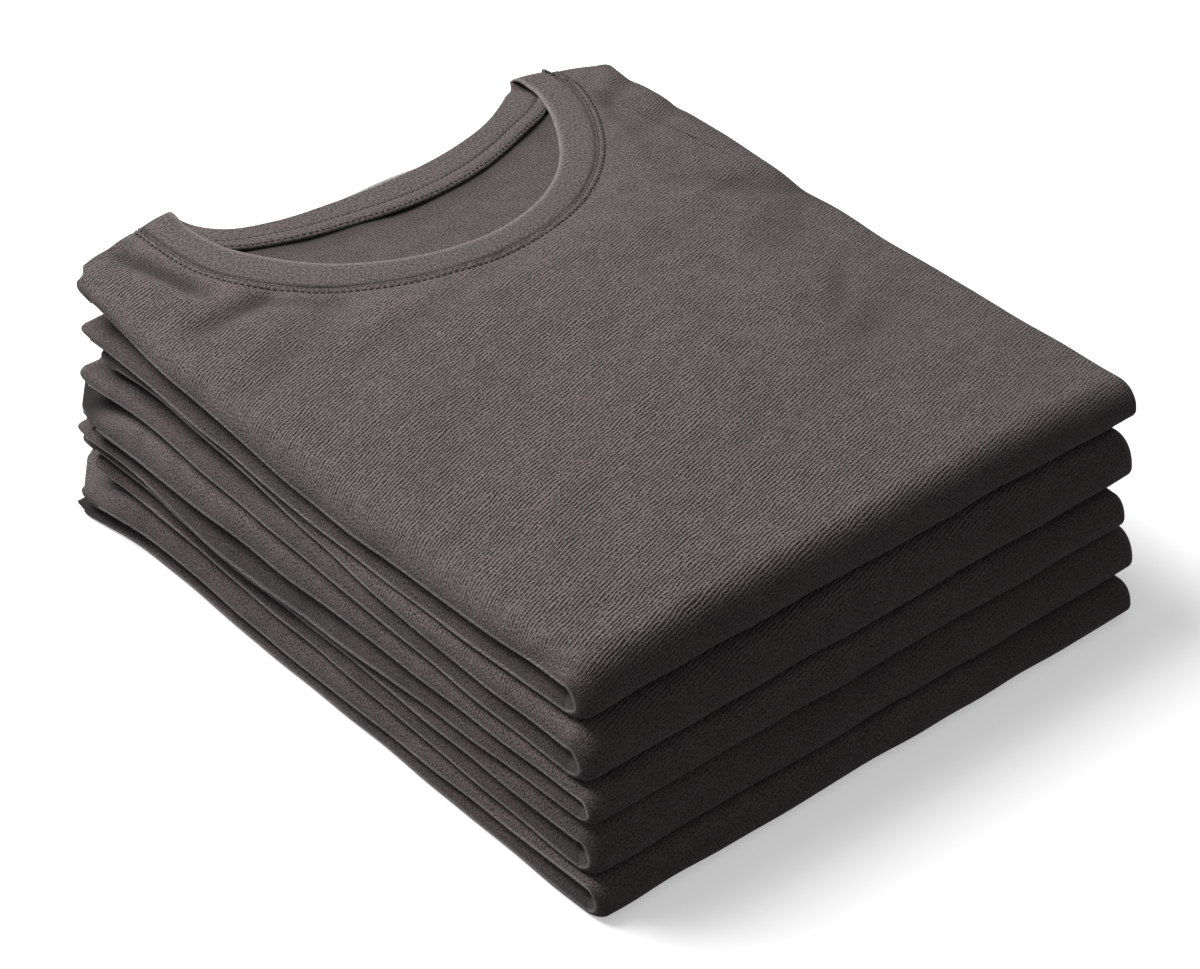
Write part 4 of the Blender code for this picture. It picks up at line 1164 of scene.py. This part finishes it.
def sleeve(shirt, side):
    """The section is a half circle at the fold, and two straight walls from it to the middle. Its opening
    is as much shorter at the corner as the mean of its shirt's two halves."""
    edges, sign = (LEFT_EDGES, 1.0) if side == "left" else (RIGHT_EDGES, -1.0)
    along, across, around = SLEEVE_STEPS
    y = np.linspace(SLEEVE_ROWS[0, 0], SLEEVE_ROWS[-1, 0], along + 1)[:, None]
    inset, width = (curve_through(y, SLEEVE_ROWS[:, 0], SLEEVE_ROWS[:, i]) for i in (1, 2))
    edge = sum(curve_through(y, SIDE_Y, edges[shirt, half]) for half in ("upper", "lower")) / 2
    outside, inside = (
        sum(half_heights(shirt, half, edge + sign * inwards, y)[1] for half in ("upper", "lower")) / 2
        for inwards in (SLEEVE_CREASE, FLAP_WIDTH)
    )
    wall = np.linspace(1, 0, across + 1)[None, :-1]
    angle = np.linspace(np.pi / 2, -np.pi / 2, around + 1)[None]
    fold = SLEEVE_HALF * (1 - np.cos(angle)) + 0 * y
    inwards = inset + np.hstack([width * wall, fold, width * wall[:, ::-1]])
    rise = SLEEVE_HALF * np.hstack([1 + 0 * wall, np.sin(angle), -1 + 0 * wall]) + 0 * y
    z = outside + (inside - outside) / (FLAP_WIDTH - SLEEVE_CREASE) * (inwards - SLEEVE_CREASE) + rise
    x = edge + sign * inwards
    cut = sum(CORNER_CUTS[shirt]) / 2 * np.exp(-inwards / CUT_REACH)
    grid = np.stack([x, y - cut * ramp(y, ENDS_START, LENGTH), z], axis=-1)
    if side == "right":
        grid = grid[::-1]
    measures = np.stack(np.broadcast_arrays(lengths_along(grid[0]), grid[..., 1]), axis=-1)
    faces = grid_faces(*grid.shape[:2])
    name, solid = f"shirt_{shirt}_{side}_sleeve", f"shirt_{shirt}_sleeve_{side}"
    return thicken(piece(name, grid, faces, measures, "sleeves", [solid], inner_shade_and_wear(grid)))


for shirt in SHIRTS:
    for side in ("left", "right"):
        sleeve(shirt, side)
print("sleeves:", 2 * len(SHIRTS))

# %% [markdown]
# ## Stitches
#
# The neck seam is topstitched with two rows of thread, and the tape with one along each edge. A row of
# stitches could be a texture, but a real stitch bulges and casts a small shadow. So one stitch is a slim
# grain with few faces, and copies of it are set along a line on the cloth, each turned along the line. All
# are one mesh.

# %% Rows of stitches
STITCH_PERIOD = 3.0
STITCH_LENGTH = 2.0
NECK_RADII = (0.36, 0.56)
TAPE_RADIUS = 0.34
TAPE_ROWS = (0.06, 0.8)
STITCH_SIDES = 6
STITCH_RINGS = 5
STITCH_TIP = 0.02
LOOK_AHEAD = 0.5
NECK_ROW_SHORT = (2.0, 1.0)
NECK_ROW_STEPS = 299


def stitch_grain():
    """One stitch as (points, faces): rings of radius sin(a)^0.6 at x = -cos(a), for a from 0 to pi."""
    angle = np.linspace(0, np.pi, STITCH_RINGS + 1)
    turn = np.arange(STITCH_SIDES) * 2 * np.pi / STITCH_SIDES
    radius = np.maximum(np.sin(angle), STITCH_TIP) ** 0.6
    along = np.repeat(-np.cos(angle)[:, None], STITCH_SIDES, axis=1)
    points = np.stack([along, radius[:, None] * np.cos(turn), radius[:, None] * np.sin(turn)], axis=-1)
    return points.reshape(-1, 3), tube_faces(STITCH_RINGS + 1, STITCH_SIDES)[:, ::-1]


def stitches_along(line, radius):
    """Stitches along a line of points on a surface that faces up, as (points, faces)."""
    place = lengths_along(line)
    at = np.arange(STITCH_PERIOD / 2, place[-1], STITCH_PERIOD)
    middle = np.stack([np.interp(at, place, line[:, i]) for i in range(3)], axis=-1)
    along = np.stack([np.interp(at + LOOK_AHEAD, place, line[:, i]) for i in range(3)], axis=-1) - middle
    along /= np.linalg.norm(along, axis=1, keepdims=True)
    side = np.cross((0.0, 0.0, 1.0), along)
    side /= np.linalg.norm(side, axis=1, keepdims=True)
    up = np.cross(along, side)
    grain, faces = stitch_grain()
    points = (
        middle[:, None]
        + along[:, None] * grain[None, :, :1] * STITCH_LENGTH / 2
        + side[:, None] * grain[None, :, 1:2] * radius
        + up[:, None] * grain[None, :, 2:] * radius
    )
    shift = np.arange(len(at))[:, None, None] * len(grain)
    return points.reshape(-1, 3), (faces[None] + shift).reshape(-1, 4)


def neck_row(distance):
    """A line on the front panel at a distance outside the neck seam, a little short of both shoulders."""
    first, last = RING_PLACES[0] + NECK_ROW_SHORT[0], RING_PLACES[FRONT_SECTIONS] - NECK_ROW_SHORT[1]
    places = np.linspace(first, last, NECK_ROW_STEPS + 1)
    seam, across, _, _ = band_frame(1, places)
    line = seam - across * (distance + SEAM_ROOM[1])
    x, y = line[:, 0], line[:, 1]
    height = half_heights(1, "upper", x, y)[0] + relief(1, x, y)[0]
    return np.column_stack([line[:, :2], height])


def tape_row(share):
    """A line on the tape, at a share of its width from the seam."""
    ends = TAPE_SHORT + 1
    return tape_points(1, *(part[ends:-ends] for part in nape_line(1, BACK_STEPS[1][0])), share)


rows = [stitches_along(neck_row(distance), radius) for distance, radius in zip(STITCH_ROWS, NECK_RADII)]
rows += [stitches_along(tape_row(share), TAPE_RADIUS) for share in TAPE_ROWS]
stitch_points, stitch_faces = join(rows)
piece("shirt_1_stitches", stitch_points, stitch_faces, stitch_points[:, :2], "collar", [])
print("stitches:", len(stitch_faces) // (STITCH_SIDES * STITCH_RINGS))

# %% [markdown]
# ## Shaders as sums
#
# A material's pattern is arithmetic on numbers that change over the cloth. The small class below lets
# Python's own operators add the Math nodes, so that a pattern reads as a formula.

# %% Wires and nodes
SHEEN_ROUGHNESS = 0.5
SPECULAR = 0.25


class Wire:
    """A number that changes over a surface: an output socket that Python's operators work on."""

    def __init__(self, nodes, socket):
        self.nodes = nodes
        self.socket = socket

    def math(self, operation, first, second=0.0):
        return self.nodes.add("ShaderNodeMath", {"operation": operation}, {0: first, 1: second})

    def __add__(self, other):
        return self.math("ADD", self, other)

    def __radd__(self, other):
        return self.math("ADD", other, self)

    def __sub__(self, other):
        return self.math("SUBTRACT", self, other)

    def __rsub__(self, other):
        return self.math("SUBTRACT", other, self)

    def __mul__(self, other):
        return self.math("MULTIPLY", self, other)

    def __rmul__(self, other):
        return self.math("MULTIPLY", other, self)


class Nodes:
    """A material's nodes, with its one Principled shader."""

    def __init__(self, name, roughness=0.92, sheen=0.0):
        self.material = bpy.data.materials.new(name)
        self.material.use_nodes = True
        self.tree = self.material.node_tree
        self.shader = self.tree.nodes["Principled BSDF"]
        self.shader.inputs["Roughness"].default_value = roughness
        self.shader.inputs["Sheen Weight"].default_value = sheen
        self.shader.inputs["Sheen Roughness"].default_value = SHEEN_ROUGHNESS
        self.shader.inputs["Specular IOR Level"].default_value = SPECULAR

    def add(self, kind, settings, sockets, output=0):
        """Adds a node, with its settings, and the values or links of its sockets by name or number."""
        node = self.tree.nodes.new(kind)
        for name, value in settings.items():
            setattr(node, name, value)
        for name, value in sockets.items():
            self.set(node.inputs[name], value)
        return Wire(self, node.outputs[output])

    def set(self, socket, value):
        if isinstance(value, Wire):
            self.tree.links.new(value.socket, socket)
        else:
            socket.default_value = value

    def cloth_place(self):
        """The cloth's own measures, in metres."""
        return self.add("ShaderNodeUVMap", {"uv_map": "cloth"}, {})

    def turned_place(self, size, degrees):
        """The cloth's own measures, turned, and counted in sizes of a pattern given in millimetres."""
        return self.add("ShaderNodeMapping", {"vector_type": "TEXTURE"}, {
            "Vector": self.cloth_place(),
            "Rotation": (0.0, 0.0, np.radians(degrees)),
            "Scale": (size[0] * MM, size[1] * MM, 1.0),
        })

    def attribute(self, name):
        """A number that the mesh carries at its points."""
        return self.add("ShaderNodeAttribute", {"attribute_name": name}, {}, output=2)

    def cloth_noise(self, size, degrees, detail=2.0, roughness=0.5):
        """Noise on the cloth, stretched to a size in millimetres and turned. It stays near 0.5."""
        return self.add("ShaderNodeTexNoise", {"noise_dimensions": "2D"}, {
            "Vector": self.turned_place(size, degrees),
            "Scale": 1.0,
            "Detail": detail,
            "Roughness": roughness,
        })

    def between(self, share, first, second):
        """The colour at a share of the way from the first to the second."""
        return self.add("ShaderNodeMix", {"data_type": "RGBA", "clamp_factor": True}, {
            0: share,
            6: (*first, 1.0) if isinstance(first, tuple) else first,
            7: (*second, 1.0) if isinstance(second, tuple) else second,
        }, output=2)

    def finish(self, colour, height, depth):
        """Joins the colour to the shader, and the height through a Bump node of a depth in millimetres."""
        bump = self.add("ShaderNodeBump", {}, {"Height": height, "Distance": depth * MM, "Strength": 1.0})
        self.set(self.shader.inputs["Base Color"], colour)
        self.set(self.shader.inputs["Normal"], bump)
        return self.material


# %% [markdown]
# ## Dyed jersey
#
# The cloth is a fine jersey in a dark warm grey, dyed after it was sewn, so its colour drifts between a
# browner and a greener grey over a few centimetres. Its surface is covered in short fine ridges, about one
# and a half millimetres apart, that run slightly askew to the shirt. Where the cloth is creased hard its
# nap is worn light, and a painted highlight there stands in for the light the crease catches. An image of
# cloth would blur close up and repeat, so the ridges are a formula. The pieces carry two numbers at their
# points: edge, which is above zero where the cloth is worn and where a highlight is painted, and below it
# where the colour is darker, which is painted shade and a darkening towards the right and past the sides;
# and grain, which is how strong the ridges are.

# %% The jersey
BROWN_GREY = (0.197, 0.158, 0.158)
GREEN_GREY = (0.176, 0.151, 0.151)
# the grey of worn nap, also used as painted highlight on creases and the roll's rim
WORN_AND_HIGHLIGHT_GREY = (0.480, 0.430, 0.428)
# the dark of the ridges' valleys, also used as painted shade
VALLEY_AND_SHADE_GREY = (0.024, 0.018, 0.018)
GRAIN_TURN = 16.0
RIDGE_PERIOD = 1.6
RIDGE_WANDER = 1.2
# (how much the noise adds, what is taken off)
RIDGE_BREAKS = (5.9, 1.5)
TINT_DRIFT = (3.0, 1.0)
UNEVENNESS = 4.2
SHADE = 0.42
SHADE_BY_HEIGHT = 0.46
SHADE_BY_CLOUD = 0.4
# (share of wear and painted highlight, least of it, how much the fine noise adds)
JERSEY_WEAR_AND_HIGHLIGHT = (0.8, 0.3, 1.4)
JERSEY_RELIEF = 0.12


def lighten_and_shade(nodes, colour, edge, wear_and_painted_light):
    """The colour, made lighter by a share for wear and painted highlight, and then darker where edge is below
    zero, which is mostly painted shade.
    """
    lightened = nodes.between(wear_and_painted_light, colour, WORN_AND_HIGHLIGHT_GREY)
    return nodes.between(0.0 - edge, lightened, VALLEY_AND_SHADE_GREY)


def jersey(name):
    """The dyed cloth. Its ridges are a sine across them, with a phase that wanders a little and a strength
    that comes and goes along them, and on top a finer unevenness."""
    nodes = Nodes(name, sheen=0.1)
    place = nodes.turned_place((1.0, RIDGE_PERIOD), GRAIN_TURN)
    across = nodes.add("ShaderNodeSeparateXYZ", {}, {0: place}, output=1)
    strength = nodes.attribute("grain")
    wander = nodes.cloth_noise((12.0, 8.0), GRAIN_TURN, detail=1.0)
    break_up = nodes.cloth_noise((1.7, 1.1), GRAIN_TURN, detail=1.0)
    fine = nodes.cloth_noise((1.1, 0.7), GRAIN_TURN, detail=1.0)
    patch = nodes.cloth_noise((30.0, 22.0), 30.0, detail=3.0, roughness=0.6)
    cloud = nodes.cloth_noise((12.0, 8.0), 10.0, detail=2.0)
    ridge = across.math("SINE", 2 * np.pi * (across + RIDGE_WANDER * wander))
    ridge = ridge * (RIDGE_BREAKS[0] * break_up - RIDGE_BREAKS[1])
    height = strength * ridge + UNEVENNESS * (fine - 0.5)
    tint = nodes.between(TINT_DRIFT[0] * patch - TINT_DRIFT[1], BROWN_GREY, GREEN_GREY)
    shade = SHADE - SHADE_BY_HEIGHT * height + SHADE_BY_CLOUD * (cloud - 0.5)
    colour = nodes.between(shade, tint, VALLEY_AND_SHADE_GREY)
    edge = nodes.attribute("edge")
    share, least, added = JERSEY_WEAR_AND_HIGHLIGHT
    wear_and_painted_light = share * edge * (least + added * fine)
    return nodes.finish(lighten_and_shade(nodes, colour, edge, wear_and_painted_light), height, JERSEY_RELIEF)


# %% [markdown]
# ## Rib and thread
#
# The neck band is knitted as a rib, with faint furrows across it under a fine speckle. Its furrows follow
# the band round the neck because the pattern reads the length along it. The thread is much darker than the
# cloth, so that its rows show, and its dark grey also stands in as painted shade for the small hollows the
# stitches sink into.

# %% Rib and thread
RIB_PERIOD = 1.15
RIB_SPECKLE = 4.5
RIB_DRIFT = (2.6, 0.8)
RIB_SHADE = (0.5, 0.42)
RIB_WEAR = 0.25
RIB_RELIEF = 0.1
THREAD_RELIEF = 0.08
# dark enough to stand in as painted shade in the stitches' hollows too
THREAD_SHADE_GREY = (0.040, 0.034, 0.033)


def rib(name, furrows=0.2):
    """Faint furrows across the band, as a sine of the length along it, under a fine speckle."""
    nodes = Nodes(name, sheen=0.1)
    along = nodes.add("ShaderNodeSeparateXYZ", {}, {0: nodes.cloth_place()})
    furrow = along.math("SINE", along * (2 * np.pi / (RIB_PERIOD * MM)))
    speckle = nodes.cloth_noise((1.3, 0.9), 60.0, detail=2.0)
    patch = nodes.cloth_noise((24.0, 16.0), 20.0, detail=3.0, roughness=0.6)
    height = furrows * furrow + RIB_SPECKLE * (speckle - 0.5)
    tint = nodes.between(RIB_DRIFT[0] * patch - RIB_DRIFT[1], BROWN_GREY, GREEN_GREY)
    colour = nodes.between(RIB_SHADE[0] - RIB_SHADE[1] * height, tint, VALLEY_AND_SHADE_GREY)
    edge = nodes.attribute("edge")
    return nodes.finish(lighten_and_shade(nodes, colour, edge, RIB_WEAR * edge), height, RIB_RELIEF)


def thread(name):
    """Twisted thread: a plain dark colour, which also serves as painted shade in the stitches' hollows, with
    a fine slanting twist.
    """
    nodes = Nodes(name, roughness=0.8)
    twist = nodes.cloth_noise((1.0, 0.3), 35.0, detail=1.0)
    return nodes.finish(nodes.between(twist, THREAD_SHADE_GREY, VALLEY_AND_SHADE_GREY), twist, THREAD_RELIEF)


cloths = {
    "front": jersey("dyed jersey"),
    "back": jersey("dyed jersey inside"),
    "inner_layers": jersey("dyed jersey layers"),
    "sleeve": jersey("dyed jersey sleeves"),
    "neck_band": rib("dyed rib"),
    "tape": rib("dyed tape", furrows=0.5),
    "stitches": thread("sewing thread"),
}
for made in set(bpy.context.scene.objects) - set(frame["nodes"].values()):
    for ending, material in cloths.items():
        if made.type == "MESH" and made.name.endswith(ending):
            made.data.materials.append(material)
print("materials:", ", ".join(material.name for material in cloths.values()))

# %% [markdown]
# ## Studio
#
# The stack stands on a plain white floor in soft light. A large lamp to the left and slightly behind lights
# the top and the left side, and a pale sky, darker towards the horizon, fills the rest. A white floor would
# light the sides from below, so it is kept out of the diffuse bounces, and a faint glow of its own softens
# the shadow.

# %% Floor, light and camera
FLOOR_REACH = 4.0
FLOOR_WHITE = (0.86, 0.86, 0.86, 1.0)
FLOOR_GLOW = 0.40
WHITE = (1.0, 1.0, 1.0, 1.0)
SKY = (0.0, 0.27)
SKY_RISE = (-0.15, 0.5)
KEY_DIRECTION = (-0.23, 0.62, 0.9)
KEY_TARGET = Vector((0.0, 0.0, 0.05))
KEY_DISTANCE = 2.2
KEY_SIZE = 1.3
KEY_ENERGY = 66.0


def studio_floor():
    """One large quad, eight metres square, at the height of the stack's base."""
    mesh = bpy.data.meshes.new("floor")
    corners = [(x * FLOOR_REACH, y * FLOOR_REACH, 0.0) for x, y in ((-1, -1), (1, -1), (1, 1), (-1, 1))]
    mesh.from_pydata(corners, [], [(0, 1, 2, 3)])
    floor = bpy.data.objects.new("floor", mesh)
    bpy.context.scene.collection.objects.link(floor)
    material = bpy.data.materials.new("white paper")
    material.use_nodes = True
    shader = material.node_tree.nodes["Principled BSDF"]
    shader.inputs["Base Color"].default_value = FLOOR_WHITE
    shader.inputs["Roughness"].default_value = 0.9
    shader.inputs["Emission Color"].default_value = WHITE
    shader.inputs["Emission Strength"].default_value = FLOOR_GLOW
    mesh.materials.append(material)
    floor.visible_diffuse = False


def soft_lamp():
    """A large square lamp that stands in KEY_DIRECTION from the stack's middle and faces it."""
    data = bpy.data.lights.new("key light", "AREA")
    data.shape = "SQUARE"
    data.size = KEY_SIZE
    data.energy = KEY_ENERGY
    lamp = bpy.data.objects.new("key light", data)
    towards = Vector(KEY_DIRECTION).normalized()
    lamp.location = towards * KEY_DISTANCE + KEY_TARGET
    lamp.rotation_euler = towards.to_track_quat("Z", "Y").to_euler()
    bpy.context.scene.collection.objects.link(lamp)


def studio_sky():
    """A white sky whose strength grows smoothly from the horizon up, between the two values of SKY."""
    world = bpy.data.worlds.new("studio")
    world.use_nodes = True
    nodes, links = world.node_tree.nodes, world.node_tree.links
    direction = nodes.new("ShaderNodeTexCoord")
    parts = nodes.new("ShaderNodeSeparateXYZ")
    strength = nodes.new("ShaderNodeMapRange")
    strength.interpolation_type = "SMOOTHSTEP"
    for ends, values in ((("From Min", "From Max"), SKY_RISE), (("To Min", "To Max"), SKY)):
        for end, value in zip(ends, values):
            strength.inputs[end].default_value = value
    links.new(direction.outputs["Generated"], parts.inputs[0])
    links.new(parts.outputs["Z"], strength.inputs["Value"])
    links.new(strength.outputs[0], nodes["Background"].inputs["Strength"])
    nodes["Background"].inputs["Color"].default_value = WHITE
    bpy.context.scene.world = world


studio_floor()
studio_sky()
soft_lamp()
bpy.context.scene.view_settings.view_transform = "Standard"

VIEW_TURN = np.radians(-40.2156)
VIEW_RISE = np.radians(35.5984)
VIEW_DISTANCE = 1.3449
VIEW_TARGET = Vector((-0.026616, -0.038511, 0.06))
VIEW_LENS = 96.0
VIEW_SENSOR = 36.0
towards_camera = Vector((
    np.sin(VIEW_TURN) * np.cos(VIEW_RISE),
    -np.cos(VIEW_TURN) * np.cos(VIEW_RISE),
    np.sin(VIEW_RISE),
))
camera = bpy.data.objects.new("camera", bpy.data.cameras.new("camera"))
camera.data.lens = VIEW_LENS
camera.data.sensor_width = VIEW_SENSOR
camera.location = VIEW_TARGET + towards_camera * VIEW_DISTANCE
camera.rotation_euler = towards_camera.to_track_quat("Z", "Y").to_euler()
bpy.context.scene.collection.objects.link(camera)
bpy.context.scene.camera = camera
print("camera", round(VIEW_DISTANCE, 2), "m away")
